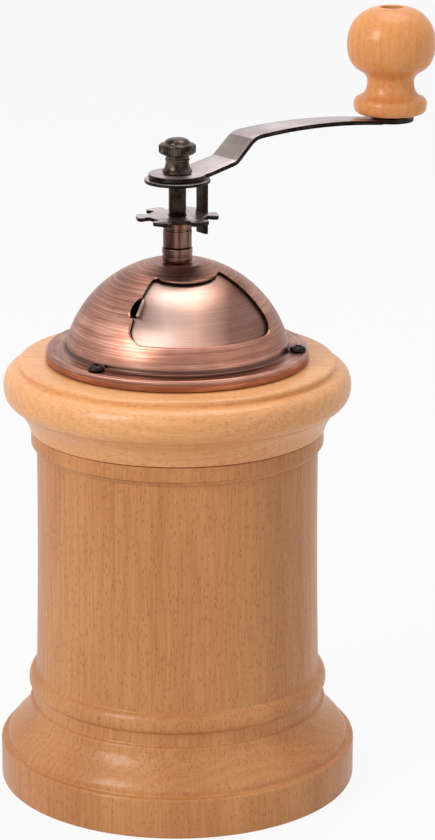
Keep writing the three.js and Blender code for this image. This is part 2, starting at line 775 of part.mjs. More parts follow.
// The fixed outer burr, screwed up under the bowl's floor.
function ringBurr() {
  const past = 0.6;
  const slope = (ringBurrTopRadius - ringBurrLowRadius) / ringBurrHeight;
  const core = toothedCone(
    ringBurrLow - past, ringBurrTop + past,
    ringBurrLowRadius - slope * past, ringBurrTopRadius + slope * past,
    true,
  );
  let ring = drum(ringBurrRadius, ringBurrLow, ringBurrTop, turnedSegments).subtract(core);
  for (const side of [-1, 1]) {
    const hole = drum(screwRadius + seatGap / 2, ringBurrTop - 7.5, ringBurrTop + 1, screwSegments);
    ring = ring.subtract(hole.translate([side * bridgeScrewCircle, 0, 0]));
  }
  return ring;
}

// The inner burr that turns with the shaft, keyed on two flats.
function coneBurr() {
  const key = flattedCircle(shaftRadius + runningGap, burrSeatHalfWidth + runningGap);
  const radiusAtRing = ringBurrLowRadius - grindGap;
  const slope = (coneBurrTopRadius - radiusAtRing) / (coneBurrTop - ringBurrLow);
  const lowRadius = radiusAtRing - slope * coneBurrOverhang;
  return toothedCone(coneBurrLow, coneBurrTop, lowRadius, coneBurrTopRadius, false)
    .subtract(plate(key, coneBurrLow - 1, coneBurrTop + 1));
}

// The stamped strap across the funnel that carries the lower bush.
function guideBridge() {
  const footEnd = ringBurrRadius;
  const footStart = footEnd - bridgeFootLength;
  const high = bridgeFoot + bridgeRise;
  const side = new THREE.Shape();
  side.moveTo(-footEnd, bridgeFoot);
  side.lineTo(-footStart, bridgeFoot);
  side.lineTo(-bridgeFlat, high);
  side.lineTo(bridgeFlat, high);
  side.lineTo(footStart, bridgeFoot);
  side.lineTo(footEnd, bridgeFoot);
  side.lineTo(footEnd, bridgeFoot + bridgeThickness);
  side.lineTo(footStart, bridgeFoot + bridgeThickness);
  side.lineTo(bridgeFlat, bridgeTop);
  side.lineTo(-bridgeFlat, bridgeTop);
  side.lineTo(-footStart, bridgeFoot + bridgeThickness);
  side.lineTo(-footEnd, bridgeFoot + bridgeThickness);
  side.closePath();
  const options = { depth: bridgeWidth, bevelEnabled: false };
  const geometry = new THREE.ExtrudeGeometry(side, options);
  geometry.translate(0, 0, -bridgeWidth / 2);
  geometry.rotateX(Math.PI / 2);
  let bridge = solid(geometry).add(drum(bridgeHubRadius, bridgeHubLow, bridgeTop + 0.4));
  bridge = bridge.subtract(drum(guideBushRadius + seatGap, bridgeHubLow - 1, bridgeTop + 2));
  for (const end of [-1, 1]) {
    const hole = drum(screwRadius + seatGap, bridgeFoot - 1, bridgeFoot + bridgeThickness + 1, screwSegments);
    bridge = bridge.subtract(hole.translate([end * bridgeScrewCircle, 0, 0]));
  }
  return bridge;
}

// The brass bush in the bridge, whose lower flange takes the spring's thrust.
function guideBush() {
  const bore = shaftRadius + runningGap;
  const flangeHigh = bridgeHubLow - seatGap;
  const outline = new THREE.Path();
  outline.moveTo(bore, flangeHigh - guideFlangeThickness);
  outline.lineTo(guideFlangeRadius, flangeHigh - guideFlangeThickness);
  outline.lineTo(guideFlangeRadius, flangeHigh);
  outline.lineTo(guideBushRadius, flangeHigh);
  outline.lineTo(guideBushRadius, bridgeTop + 1.0);
  outline.lineTo(bore, bridgeTop + 1.0);
  outline.closePath();
  return turned(outline, smallSegments);
}

// The shaft: keyed for the burr below, threaded for the star nut, flatted for the crank above.
function driveShaft() {
  const tailLow = coneBurrLow - seatGap * 3 - burrWasherThickness - burrNutHeight - shaftTail;
  const threadTop = bushTop + threadLength;
  const flatTop = armTop - 0.4;
  const key = flattedCircle(shaftRadius, burrSeatHalfWidth);
  const upperKey = flattedCircle(flattedRadius, flatHalfWidth);
  return plate(key, tailLow, coneBurrTop)
    .add(drum(shaftRadius, coneBurrTop, threadTop))
    .add(drum(upperShaftRadius, threadTop - 0.5, stopperLow - seatGap))
    .add(plate(upperKey, stopperLow - seatGap - 0.5, flatTop))
    .add(drum(studRadius, flatTop - 0.5, nutLow + studLength));
}

// A plain washer with a round hole.
function washer(outerRadius, holeRadius, low, thickness) {
  return drum(outerRadius, low, low + thickness)
    .subtract(drum(holeRadius, low - 1, low + thickness + 1));
}

class Helix extends THREE.Curve {
  constructor(radius, low, high, turns) {
    super();
    Object.assign(this, { radius, low, high, turns });
  }

  getPoint(t, target = new THREE.Vector3()) {
    const angle = 2 * Math.PI * this.turns * t;
    const height = this.low + (this.high - this.low) * t;
    return target.set(this.radius * Math.cos(angle), this.radius * Math.sin(angle), height);
  }
}

// The compression spring that holds the shaft down on the star nut.
function burrSpring() {
  const half = springWire / 2;
  const low = springSeat + seatGap + half;
  const high = bridgeHubLow - seatGap - guideFlangeThickness - seatGap - half;
  const helix = new Helix(springRadius, low, high, springTurns);
  const section = new THREE.Shape();
  const sides = 5;
  for (let side = 0; side < sides; side += 1) {
    const angle = (2 * Math.PI * side) / sides;
    const point = [half * Math.cos(angle), half * Math.sin(angle)];
    if (side === 0) section.moveTo(...point);
    else section.lineTo(...point);
  }
  section.closePath();
  const steps = Math.round(springTurns * 8);
  const options = { steps, extrudePath: helix, bevelEnabled: false };
  reportSpringGap(helix);
  return solid(new THREE.ExtrudeGeometry(section, options));
}

// Prints the least clear distance between one turn of the spring and the next.
function reportSpringGap(helix) {
  const points = helix.getSpacedPoints(200);
  const turnSteps = Math.round(200 / helix.turns);
  let least = Infinity;
  points.forEach((point, index) => {
    for (let other = index + Math.round(turnSteps / 2); other < points.length; other += 1) {
      least = Math.min(least, point.distanceTo(points[other]));
    }
  });
  console.log(`burr spring: least gap between turns ${(least - springWire).toFixed(2)} mm`);
}

// The hexagon nut that holds the cone burr on the shaft.
function burrNut() {
  const top = coneBurrLow - seatGap * 2 - burrWasherThickness;
  return plate(hexagon(burrNutAcross), top - burrNutHeight, top)
    .subtract(drum(shaftRadius + seatGap / 2, top - burrNutHeight - 1, top + 1));
}

// The star plate's outline: round lobes between flat-floored notches for the claw.
function starOutline() {
  const notchHalf = clawWidth / 2 + seatGap;
  const outline = new THREE.Shape();
  const lobeHalf = Math.PI / starLobes - Math.asin((notchHalf + starLobeCorner) / starPlateRadius);
  const turnedPoint = (radius, angle) => [radius * Math.cos(angle), radius * Math.sin(angle)];
  for (let lobe = 0; lobe < starLobes; lobe += 1) {
    const middle = ((lobe + 0.5) * 2 * Math.PI) / starLobes;
    const notch = (lobe + 1) * ((2 * Math.PI) / starLobes);
    const across = [-Math.sin(notch), Math.cos(notch)];
    const out = [Math.cos(notch), Math.sin(notch)];
    const notchPoint = (radial, sideways) => [
      out[0] * radial + across[0] * sideways,
      out[1] * radial + across[1] * sideways,
    ];
    const cornerRadial = starPlateRadius - starLobeCorner * 1.6;
    if (lobe === 0) outline.moveTo(...turnedPoint(starPlateRadius, middle - lobeHalf));
    outline.absarc(0, 0, starPlateRadius, middle - lobeHalf, middle + lobeHalf, false);
    outline.quadraticCurveTo(
      ...notchPoint(starPlateRadius * 0.985, -notchHalf - 0.1),
      ...notchPoint(cornerRadial, -notchHalf),
    );
    outline.lineTo(...notchPoint(starNotchFloor + 0.7, -notchHalf));
    outline.quadraticCurveTo(
      ...notchPoint(starNotchFloor, -notchHalf),
      ...notchPoint(starNotchFloor, -notchHalf + 0.7),
    );
    outline.lineTo(...notchPoint(starNotchFloor, notchHalf - 0.7));
    outline.quadraticCurveTo(
      ...notchPoint(starNotchFloor, notchHalf),
      ...notchPoint(starNotchFloor + 0.7, notchHalf),
    );
    outline.lineTo(...notchPoint(cornerRadial, notchHalf));
    const nextStart = middle + (2 * Math.PI) / starLobes - lobeHalf;
    outline.quadraticCurveTo(
      ...notchPoint(starPlateRadius * 0.985, notchHalf + 0.1),
      ...turnedPoint(starPlateRadius, nextStart),
    );
  }
  return outline;
}

// The star nut: a hub on the shaft's thread with a notched plate on top.
function starNut() {
  const hubTop = starLow + starHubHeight;
  const outline = new THREE.Path();
  outline.moveTo(0, starLow);
  outline.lineTo(starHubRadius - 0.3, starLow);
  outline.lineTo(starHubRadius, starLow + 0.4);
  outline.lineTo(starHubRadius, hubTop - starFlare);
  outline.lineTo(starHubRadius + starFlare, hubTop);
  outline.lineTo(starHubRadius + starFlare, hubTop + starPlateThickness / 2);
  outline.lineTo(0, hubTop + starPlateThickness / 2);
  return turned(outline, smallSegments)
    .add(plate(starOutline(), hubTop, starPlateTop, 3))
    .subtract(drum(shaftRadius + runningGap, starLow - 1, starPlateTop + 1));
}

// The stopper plate on the shaft's flats, with its claw bent down into a notch of the star.
function stopperPlate() {
  const top = stopperLow + stopperThickness;
  const key = flattedCircle(flattedRadius + runningGap, flatHalfWidth + runningGap);
  const claw = block(
    [stopperRadius - clawThickness, -clawWidth / 2, stopperLow - clawReach],
    [stopperRadius, clawWidth / 2, top - 0.3],
  );
  return drum(stopperRadius, stopperLow, top, turnedSegments)
    .add(claw)
    .subtract(plate(key, stopperLow - 1, top + 1));
}

// The middle line of the crank arm, as distance from the shaft and height.
function armLine() {
  const level = armLow + armThickness / 2;
  const rampTop = level + armRampRise;
  const stepTop = rampTop + armStepRise;
  const stepEnd = armRampEnd + armStepLength;
  const seatHeight = stepTop - armEndDrop;
  const seatStart = crankRadius - armSeatLength;
  const rampSlope = armRampRise / (armRampEnd - armLevelEnd - 1);
  const stepSlope = armStepRise / armStepLength;
  const line = new THREE.Path();
  line.moveTo(-armHubRadius - 3, level);
  line.lineTo(armLevelEnd, level);
  line.quadraticCurveTo(
    armLevelEnd + 1, level,
    armLevelEnd + 2.2, level + 1.2 * rampSlope,
  );
  line.lineTo(armRampEnd - 1.2, rampTop - 1.2 * rampSlope);
  line.quadraticCurveTo(armRampEnd, rampTop, armRampEnd + 0.9, rampTop + 0.9 * stepSlope);
  line.lineTo(stepEnd - 2, stepTop - 2 * stepSlope);
  line.quadraticCurveTo(stepEnd, stepTop, stepEnd + 2.4, stepTop + 0.2);
  line.quadraticCurveTo(
    (stepEnd + seatStart) / 2, (stepTop + seatHeight) / 2 + 2 * armArch,
    seatStart, seatHeight,
  );
  line.lineTo(crankRadius + armEndRadius + 3, seatHeight);
  return line;
}

// Gives a line in a plane a thickness, as a closed outline.
function thickened(points, thickness) {
  const left = [];
  const right = [];
  points.forEach((point, index) => {
    const before = points[Math.max(index - 1, 0)];
    const after = points[Math.min(index + 1, points.length - 1)];
    const along = after.clone().sub(before).normalize();
    const offset = new THREE.Vector2(-along.y, along.x).multiplyScalar(thickness / 2);
    left.push(point.clone().add(offset));
    right.push(point.clone().sub(offset));
  });
  return new THREE.Shape([...left, ...right.reverse()]);
}

// The crank arm: a strip bent along its side view and cut to its plan view.
function crankArm() {
  const side = thickened(armLine().getPoints(curveSteps), armThickness);
  const width = 2 * armHubRadius + 2;
  const strip = new THREE.ExtrudeGeometry(side, { depth: width, bevelEnabled: false });
  strip.translate(0, 0, -width / 2);
  strip.rotateX(Math.PI / 2);
  const plan = new THREE.Shape();
  const hubJoin = Math.asin(armHubWidth / 2 / armHubRadius);
  const endJoin = Math.PI - Math.asin(armEndWidth / 2 / armEndRadius);
  plan.absarc(0, 0, armHubRadius, hubJoin, 2 * Math.PI - hubJoin, false);
  plan.absarc(crankRadius, 0, armEndRadius, -endJoin, endJoin, false);
  plan.closePath();
  const key = flattedCircle(flattedRadius + runningGap, flatHalfWidth + runningGap);
  const axleHole = drum(axleRadius + runningGap, armLow, knobBase);
  return solid(strip)
    .intersect(plate(plan, armLow - 5, knobBase + 5, 10))
    .subtract(plate(key, armLow - 1, armTop + 1))
    .subtract(axleHole.translate([crankRadius, 0, 0]));
}

// The knurled thumb nut on the shaft's stud.
function thumbNut() {
  const headLow = nutLow + nutNeckHeight;
  const headHigh = headLow + nutHeadHeight;
  const crown = headHigh + nutCrown;
  const coreRadius = nutHeadRadius - nutKnurlDepth;
  const outline = new THREE.Path();
  outline.moveTo(0, nutLow);
  outline.lineTo(nutFootRadius, nutLow);
  outline.lineTo(nutFootRadius, nutLow + 0.9);
  outline.quadraticCurveTo(nutWaistRadius, nutLow + 1.6, nutWaistRadius, nutLow + 3.4);
  outline.lineTo(nutWaistRadius, headLow - 0.8);
  outline.lineTo(coreRadius, headLow);
  outline.lineTo(coreRadius, headHigh);
  outline.quadraticCurveTo(nutHeadRadius - 3, crown, 0, crown);
  const knurl = [];
  for (let step = 0; step < nutKnurls * 2; step += 1) {
    const reach = new THREE.Vector2(step % 2 ? coreRadius - 0.1 : nutHeadRadius, 0);
    knurl.push(reach.rotateAround(new THREE.Vector2(), (Math.PI * step) / nutKnurls));
  }
  return turned(outline, smallSegments, 3)
    .add(plate(new THREE.Shape(knurl), headLow + 0.3, headHigh - 0.3))
    .subtract(drum(studRadius + seatGap / 2, nutLow - 1, nutLow + studLength + 0.6, screwSegments));
}

// The turned knob, bored for its axle and counterbored for the axle's head.
function knob() {
  const foot = knobBase;
  const top = foot + knobHeight;
  const waist = foot + knobWaistHeight;
  const ball = foot + knobBallMiddle;
  const bore = axleRadius + runningGap;
  const eyeFloor = top - knobEyeDepth;
  const outline = new THREE.Path();
  outline.moveTo(bore, foot);
  outline.lineTo(knobFootRadius - 2.2, foot);
  outline.bezierCurveTo(
    knobFootRadius + 0.3, foot + 0.3,
    knobFootRadius + 0.6, foot + knobFootHeight - 0.6,
    knobFootRadius - 1.6, foot + knobFootHeight + 0.5,
  );
  outline.quadraticCurveTo(knobWaistRadius, foot + knobFootHeight + 1.6, knobWaistRadius, waist);
  outline.quadraticCurveTo(knobWaistRadius, waist + 2.2, knobWaistRadius + 2.6, waist + 3.6);
  outline.quadraticCurveTo(knobBallRadius, ball - 7.0, knobBallRadius, ball);
  outline.bezierCurveTo(knobBallRadius, top - 3.6, knobEyeRadius + 4.4, top, knobEyeRadius, top);
  outline.lineTo(knobEyeRadius, eyeFloor);
  outline.lineTo(bore, eyeFloor);
  outline.closePath();
  return turned(outline, 28);
}

// The axle: a headed pin through the knob, riveted over under the arm.
function knobAxle() {
  const headLow = knobBase + knobHeight - knobEyeDepth + seatGap;
  const rivetTop = armEndTop - armThickness - seatGap;
  return drum(axleRadius, rivetTop - rivetHeight, headLow, screwSegments)
    .add(drum(axleHeadRadius, headLow, headLow + axleHeadHeight, screwSegments))
    .add(drum(rivetRadius, rivetTop - rivetHeight, rivetTop, screwSegments));
}

const grinder = new THREE.Group();

grinder.add(node('column_body', column(), beech));
grinder.add(node('head_ring', headRing(), beech));
grinder.add(node('dome', dome(), copper));
grinder.add(node('hatch_shutter', shutter(), copper));
for (let screw = 0; screw < screwCount; screw += 1) {
  const piece = crossScrew(flangeTop + seatGap, screwLength);
  const placed = atAzimuth(piece, screwCircle, screwAzimuth(screw));
  grinder.add(node(`dome_screw_${screw + 1}`, placed, darkBronze));
}
grinder.add(node('top_bush', topBush(), copper));
grinder.add(node('bush_nut', bushNut(), brightSteel));

grinder.add(node('hopper_bowl', hopperBowl(), brightSteel));
grinder.add(node('guide_bridge', guideBridge(), brightSteel));
grinder.add(node('guide_bush', guideBush(), brass));
grinder.add(node('ring_burr', ringBurr(), burrSteel));
[-1, 1].forEach((side, index) => {
  const piece = crossScrew(bridgeFoot + bridgeThickness + seatGap, bridgeScrewLength);
  const placed = piece.translate([side * bridgeScrewCircle, 0, 0]);
  grinder.add(node(`bridge_screw_${index + 1}`, placed, brightSteel));
});

const springWasherLow = coneBurrTop + seatGap;
const washerHole = shaftRadius + runningGap;
const springWasher = washer(springWasherRadius, washerHole, springWasherLow, springWasherThickness);
grinder.add(node('spring_washer', springWasher, brightSteel));
grinder.add(node('burr_spring', burrSpring(), brightSteel));
const burrWasherLow = coneBurrLow - seatGap - burrWasherThickness;
const burrWasher = washer(burrWasherRadius, washerHole, burrWasherLow, burrWasherThickness);
grinder.add(node('burr_washer', burrWasher, brightSteel));
grinder.add(node('burr_nut', burrNut(), brightSteel));

// The pieces that index on the shaft's flats all face the crank's way.
const crank = new THREE.Group();
crank.rotation.z = radians(crankAzimuth);
grinder.add(crank);
crank.add(node('drive_shaft', driveShaft(), darkBronze));
crank.add(node('cone_burr', coneBurr(), burrSteel));
crank.add(node('star_nut', starNut(), armSteel));
crank.add(node('stopper_plate', stopperPlate(), darkBronze));
crank.add(node('crank_arm', crankArm(), armSteel));
crank.add(node('thumb_nut', thumbNut(), darkBronze));

const knobSpot = new THREE.Group();
knobSpot.position.x = crankRadius;
crank.add(knobSpot);
const knobWasherLow = knobBase - seatGap - knobWasherThickness;
const knobWasher = washer(knobWasherRadius, axleRadius + runningGap, knobWasherLow, knobWasherThickness);
knobSpot.add(node('knob_washer', knobWasher, darkBronze));
knobSpot.add(node('knob_axle', knobAxle(), brightSteel));
knobSpot.add(node('knob', knob(), beech));

export default grinder;
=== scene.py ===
import math

import bmesh
import bpy
from mathutils import Matrix, Vector


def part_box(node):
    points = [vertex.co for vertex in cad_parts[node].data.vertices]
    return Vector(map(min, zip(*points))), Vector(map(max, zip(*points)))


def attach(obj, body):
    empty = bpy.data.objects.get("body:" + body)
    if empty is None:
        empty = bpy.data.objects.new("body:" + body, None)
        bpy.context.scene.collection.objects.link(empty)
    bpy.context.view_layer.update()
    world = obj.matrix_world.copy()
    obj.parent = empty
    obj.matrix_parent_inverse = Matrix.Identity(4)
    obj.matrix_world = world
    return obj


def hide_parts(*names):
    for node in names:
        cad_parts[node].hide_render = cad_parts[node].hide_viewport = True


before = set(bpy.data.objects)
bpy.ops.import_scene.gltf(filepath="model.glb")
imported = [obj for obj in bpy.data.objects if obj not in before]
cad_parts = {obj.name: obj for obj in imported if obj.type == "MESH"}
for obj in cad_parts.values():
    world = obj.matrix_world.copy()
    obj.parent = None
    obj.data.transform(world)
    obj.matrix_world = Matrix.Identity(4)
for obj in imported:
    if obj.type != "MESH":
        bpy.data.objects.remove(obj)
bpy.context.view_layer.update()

MM = 0.001

# Sizes of the mill in millimetres, as its makers' drawing would give them. Azimuths are in degrees
# from the front, towards the right; polar angles are in degrees down from the dome's crown.
COLUMN = {"rim": 120.9, "bore": 38.0, "floor": 14.0, "seat": 41.2, "seat floor": 112.2}
HEAD = {"base": 121.2, "top": 143.6, "land": 145.2, "land radius": 41.45, "bore": 35.6, "spigot": 40.9}
FLANGE_TOP = 147.6
FLANGE_RADIUS = 42.75
FLANGE_WALL = 1.0
SKIRT_DROP = 3.7
SPHERE_CENTRE = 139.7
DOME_RADIUS = 37.4
DOME_WALL = 1.0
NECK_BORE = 4.2
NECK_DROP = 0.7
NECK_SPREAD = 14.0
SHUTTER_RADIUS = 36.0
SHUTTER_WALL = 0.8
SHUTTER_LAP = {"side": 6.0, "foot": 5.0, "ring": 16.0}
HATCH = {
    "left": -28.5, "right": 68.0, "top left": 24.3, "top right": 22.6, "sag": 3.9, "bottom": 64.0,
    "low corner": 10.0, "top corner": 2.0,
}
GRIP = {"middle": 44.8, "half": 5.8, "depth": 4.4}
TAB = {"play": 0.8, "set in": 2.0, "wide": 2.1, "root": 0.6, "high": 1.9}
SCREW_CIRCLE = 39.556
SCREW_TURNS = (-39.5, 80.5, 200.5)
SHAFT_RADIUS = 2.9
SHAFT_BORE = 3.1
THREAD = {"start": 189.6, "pitch": 0.5, "turns": 6, "depth": 0.3}
STAR = {"lobes": 6, "rim": 13.3, "notch floor": 9.2, "notch half": 2.9, "corner": 1.2, "thick": 1.3}
DISC = {"rim": 10.6, "thick": 1.1}
CLAW = {"wide": 5.2, "thick": 1.1, "middle": 10.05, "under top": 0.25}
CRANK_TURN = math.radians(38.0)
CRANK_RADIUS = 89.8
ARM = {
    "thick": 1.5, "start": -14.0, "stop": 101.0, "ramp rise": 2.65, "step rise": 7.15, "seat drop": 1.5,
    "ramp foot": 7.2, "step foot": 19.4, "step top": 27.2, "arch": 54.5, "seat": 81.8,
    "hub": 9.3, "hub half": 6.6, "end": 8.0, "end half": 4.8,
}
ARM_CUTS = {"from": -9.0, "apart": 0.72, "count": 150}
EDGE_ROUNDING = 0.22

# Steps round a turned piece: the larger it is, the more it has.
FINE, SMOOTH, PLAIN, SMALL = 144, 96, 64, 48


# ------ shader nodes ------
class Wire:
    """A shader value that takes part in Python sums."""

    def __init__(self, finish, socket):
        self.finish = finish
        self.socket = socket

    def sum(self, operation, *terms):
        return self.finish.add("ShaderNodeMath", {"operation": operation}, *terms)

    def __add__(self, other):
        return self.sum("ADD", self, other)

    def __sub__(self, other):
        return self.sum("SUBTRACT", self, other)

    def __mul__(self, other):
        return self.sum("MULTIPLY", self, other)

    def __truediv__(self, other):
        return self.sum("DIVIDE", self, other)

    def __pow__(self, other):
        return self.sum("POWER", self, other)

    def __radd__(self, other):
        return self.sum("ADD", other, self)

    def __rsub__(self, other):
        return self.sum("SUBTRACT", other, self)

    def __rmul__(self, other):
        return self.sum("MULTIPLY", other, self)

    def over(self, low, high):
        """0 below low, 1 above high, smooth between."""
        return self.finish.add(
            "ShaderNodeMapRange", {"interpolation_type": "SMOOTHSTEP"}, self, low, high, 0.0, 1.0
        )


class Finish:
    """A procedural material, built node by node."""

    def __init__(self, name):
        self.material = bpy.data.materials.new(name)
        self.material.use_nodes = True
        self.tree = self.material.node_tree
        self.tree.nodes.clear()
        self.shader = self.tree.nodes.new("ShaderNodeBsdfPrincipled")
        self.output = self.tree.nodes.new("ShaderNodeOutputMaterial")
        self.tree.links.new(self.shader.outputs[0], self.output.inputs["Surface"])
        place = self.tree.nodes.new("ShaderNodeTexCoord")
        self.place = Wire(self, place.outputs["Object"])

    def feed(self, socket, value):
        if isinstance(value, Wire):
            self.tree.links.new(value.socket, socket)
        else:
            socket.default_value = value

    def add(self, kind, settings, *inputs, out=0, **named):
        """Adds any node: its settings, its inputs in order or by name, and which output is wanted."""
        node = self.tree.nodes.new(kind)
        for key, value in settings.items():
            if key == "stops":
                self.ramp(node.color_ramp, value)
            else:
                setattr(node, key, value)
        for index, value in enumerate(inputs):
            if value is not None:
                self.feed(node.inputs[index], value)
        for key, value in named.items():
            self.feed(node.inputs[key], value)
        return Wire(self, node.outputs[out])

    def ramp(self, ramp, stops):
        while len(ramp.elements) < len(stops):
            ramp.elements.new(1.0)
        for element, (place, colour) in zip(ramp.elements, stops):
            element.position = place
            element.color = colour

    def set(self, **sockets):
        for key, value in sockets.items():
            self.feed(self.shader.inputs[key.replace("_", " ")], value)

    def mapped(self, scale, move=(0, 0, 0)):
        """Object coordinates, moved and stretched."""
        return self.add("ShaderNodeMapping", {}, self.place, move, None, scale)

    def noise(self, vector, scale, detail=3.0, rough=0.5):
        return self.add(
            "ShaderNodeTexNoise", {}, Vector=vector, Scale=scale, Detail=detail, Roughness=rough,
        )

    def blend(self, factor, first, second):
        """Two colours mixed; the colour sockets of a Mix node are 6 and 7, its colour output is 2."""
        skipped = [None] * 5
        return self.add("ShaderNodeMix", {"data_type": "RGBA"}, factor, *skipped, first, second, out=2)

    def bump(self, height, strength, distance):
        return self.add("ShaderNodeBump", {}, Strength=strength, Distance=distance, Height=height)


def tint(red, green, blue):
    """A colour read off in 0 to 255, as the linear values that a shader takes."""
    linear = [
        ((level / 255 + 0.055) / 1.055) ** 2.4 if level > 10 else level / 255 / 12.92
        for level in (red, green, blue)
    ]
    return (*linear, 1.0)


# ------ finishes ------
AS_IT_IS = (1.0, 1.0, 1.0)
RING_WAVE = 2300.0  # radians per metre outwards: a year ring every 2.7 mm
TREE_HEART = (0.055, -0.085, 0.021)  # from the tree's heart to the middle of the piece
FLECKS_PER_METRE = 1500.0
FIBRES_PER_METRE = 1500.0


def beech(name, along, light, dark, fleck, seed, coat, fleck_amount=1.0):
    """Lacquered beech whose grain runs along one axis: year rings, pores and short ray flecks."""
    finish = Finish(name)
    shift = (seed * 0.37, seed * 0.11, seed * 0.23)

    def along_grain(squeeze, move=shift):
        return finish.mapped([1.0 if axis != along else squeeze for axis in "XYZ"], move=move)

    wander = finish.noise(along_grain(0.07), 9.0, 2.0)
    outwards = finish.add(
        "ShaderNodeVectorMath", {"operation": "LENGTH"}, along_grain(0.03, TREE_HEART), out=1,
    )
    wave = (outwards + wander * 0.016) * RING_WAVE
    rings = finish.add("ShaderNodeMath", {"operation": "SINE"}, wave) * 0.5 + 0.5
    broad = finish.noise(along_grain(0.2), 42.0, 2.0)
    fibre = finish.noise(along_grain(0.035), FIBRES_PER_METRE, 3.0, 0.6)
    cells = {"Vector": along_grain(0.28, (0.3, 0.2, 0.1)), "Scale": FLECKS_PER_METRE, "Randomness": 1.0}
    spots = finish.add("ShaderNodeTexVoronoi", {}, **cells)
    chance = finish.add("ShaderNodeTexVoronoi", {}, **cells, out=1)
    pick = finish.add("ShaderNodeSeparateColor", {}, chance)
    ray = (1.0 - spots.over(0.16, 0.42)) * pick.over(0.2, 0.7) * fleck_amount
    tone = rings * 0.16 + broad.over(0.3, 0.7) * 0.42 + fibre.over(0.3, 0.7) * 0.42
    wood = finish.blend(tone, light, dark)
    wood = finish.blend(ray * 0.5, wood, fleck)
    height = fibre * 0.6 - ray * 0.8
    finish.set(Base_Color=wood, Roughness=0.42 + fibre * 0.16, Metallic=0.0, Coat_Weight=coat)
    finish.set(Coat_Roughness=0.16, Coat_IOR=1.5, Specular_IOR_Level=0.35)
    finish.set(Normal=finish.bump(height, 0.2, 0.00005))
    return finish.material


def plated(name, bright, mid, dark, rough, brushing, painted_light_stops=None):
    """Antique plating, brushed round the axis: fine bands, darker patina in the foot's crease.

    Its last argument, when given, paints a highlight and shade into the sheet from its left end to its right
    end.
    """
    finish = Finish(name)
    x = finish.add("ShaderNodeSeparateXYZ", {}, finish.place)
    y, z = (Wire(finish, x.socket.node.outputs[index]) for index in (1, 2))
    up = z - SPHERE_CENTRE * MM
    reach = (x * x + y * y) ** 0.5
    polar = finish.add("ShaderNodeMath", {"operation": "ARCTAN2"}, reach, up)
    line = finish.add("ShaderNodeCombineXYZ", {}, x * 2.0, y * 2.0, polar * 7.0)
    streak = finish.noise(line, 9.0, 4.0, 0.7)
    cloud = finish.noise(finish.mapped(AS_IT_IS), 60.0, 2.0)
    fine = finish.noise(line, 60.0, 2.0)
    tone = streak * 0.45 + cloud * 0.25 + fine * 0.3
    colour = finish.add("ShaderNodeValToRGB", {"stops": [(0.34, dark), (0.52, mid), (0.70, bright)]}, tone)
    # Painted highlight and shade along the sheet, from its left end to its right end.
    if painted_light_stops:
        left_end, width = 0.033, 0.072
        light_and_shade_paint = finish.add("ShaderNodeValToRGB", {"stops": painted_light_stops}, (x + cloud * 0.006 + left_end) / width)
        colour = finish.blend(0.72, colour, light_and_shade_paint)
    crease = up.over(0.0078, 0.0082) * (1.0 - up.over(0.0088, 0.0100))
    colour = finish.blend(crease * 0.8, colour, tint(52, 36, 32))
    finish.set(Base_Color=colour, Metallic=1.0, Roughness=rough + (1.0 - tone) * 0.12)
    finish.set(Anisotropic=brushing, Coat_Weight=0.1, Coat_Roughness=0.2)
    finish.set(Normal=finish.bump(fine, 0.12, 0.00003))
    return finish.material


def metal(name, bright, dark, rough, scale, cast=0.0, stretch=AS_IT_IS):
    """A small metal piece: slightly uneven tone and polish."""
    finish = Finish(name)
    cloud = finish.noise(finish.mapped(stretch), scale, 4.0, 0.6)
    grit = finish.noise(finish.mapped(AS_IT_IS), scale * 22.0, 2.0)
    finish.set(Base_Color=finish.blend(cloud.over(0.35, 0.65), dark, bright), Metallic=1.0)
    finish.set(Roughness=rough + cloud * 0.14 + grit * 0.05)
    finish.set(Normal=finish.bump(grit, 0.1 + cast, 0.00003 + cast * 0.0001))
    return finish.material


COLUMN_BEECH = beech(
    "column beech", "Z", tint(211, 147, 89), tint(180, 113, 59), tint(128, 74, 38), 1.0, coat=0.25,
)
HEAD_BEECH = beech(
    "head beech", "X", tint(244, 181, 122), tint(216, 145, 86), tint(152, 92, 50), 2.0, coat=0.35,
    fleck_amount=0.7,
)
KNOB_BEECH = beech(
    "knob beech", "Z", tint(238, 163, 94), tint(214, 134, 70), tint(152, 92, 48), 3.0, coat=0.35,
    fleck_amount=0.6,
)
DOME_COPPER = plated(
    "antique copper", tint(232, 184, 165), tint(164, 112, 94), tint(92, 60, 50), rough=0.25, brushing=0.82,
)
# Painted shade at the left end, a painted highlight in the middle and painted brown shade at the right.
SHUTTER_PAINTED_LIGHT = [
    (0.0, tint(84, 68, 62)), (0.28, tint(92, 78, 70)), (0.46, tint(214, 184, 172)),
    (0.60, tint(218, 172, 154)), (0.74, tint(120, 82, 70)), (1.0, tint(84, 56, 48)),
]
SHUTTER_COPPER = plated(
    "shutter copper", tint(214, 178, 164), tint(156, 114, 100), tint(104, 76, 66), rough=0.31, brushing=0.75,
    painted_light_stops=SHUTTER_PAINTED_LIGHT,
)
ARM_COPPER = metal("pale copper", tint(212, 196, 198), tint(178, 158, 160), 0.22, 60.0)
# Painted shade, lighter, for the steep bends of the sheet pieces.
SHADE_PAINTED_STEEP_COPPER = metal("shaded copper", tint(160, 146, 140), tint(126, 112, 108), 0.25, 60.0)
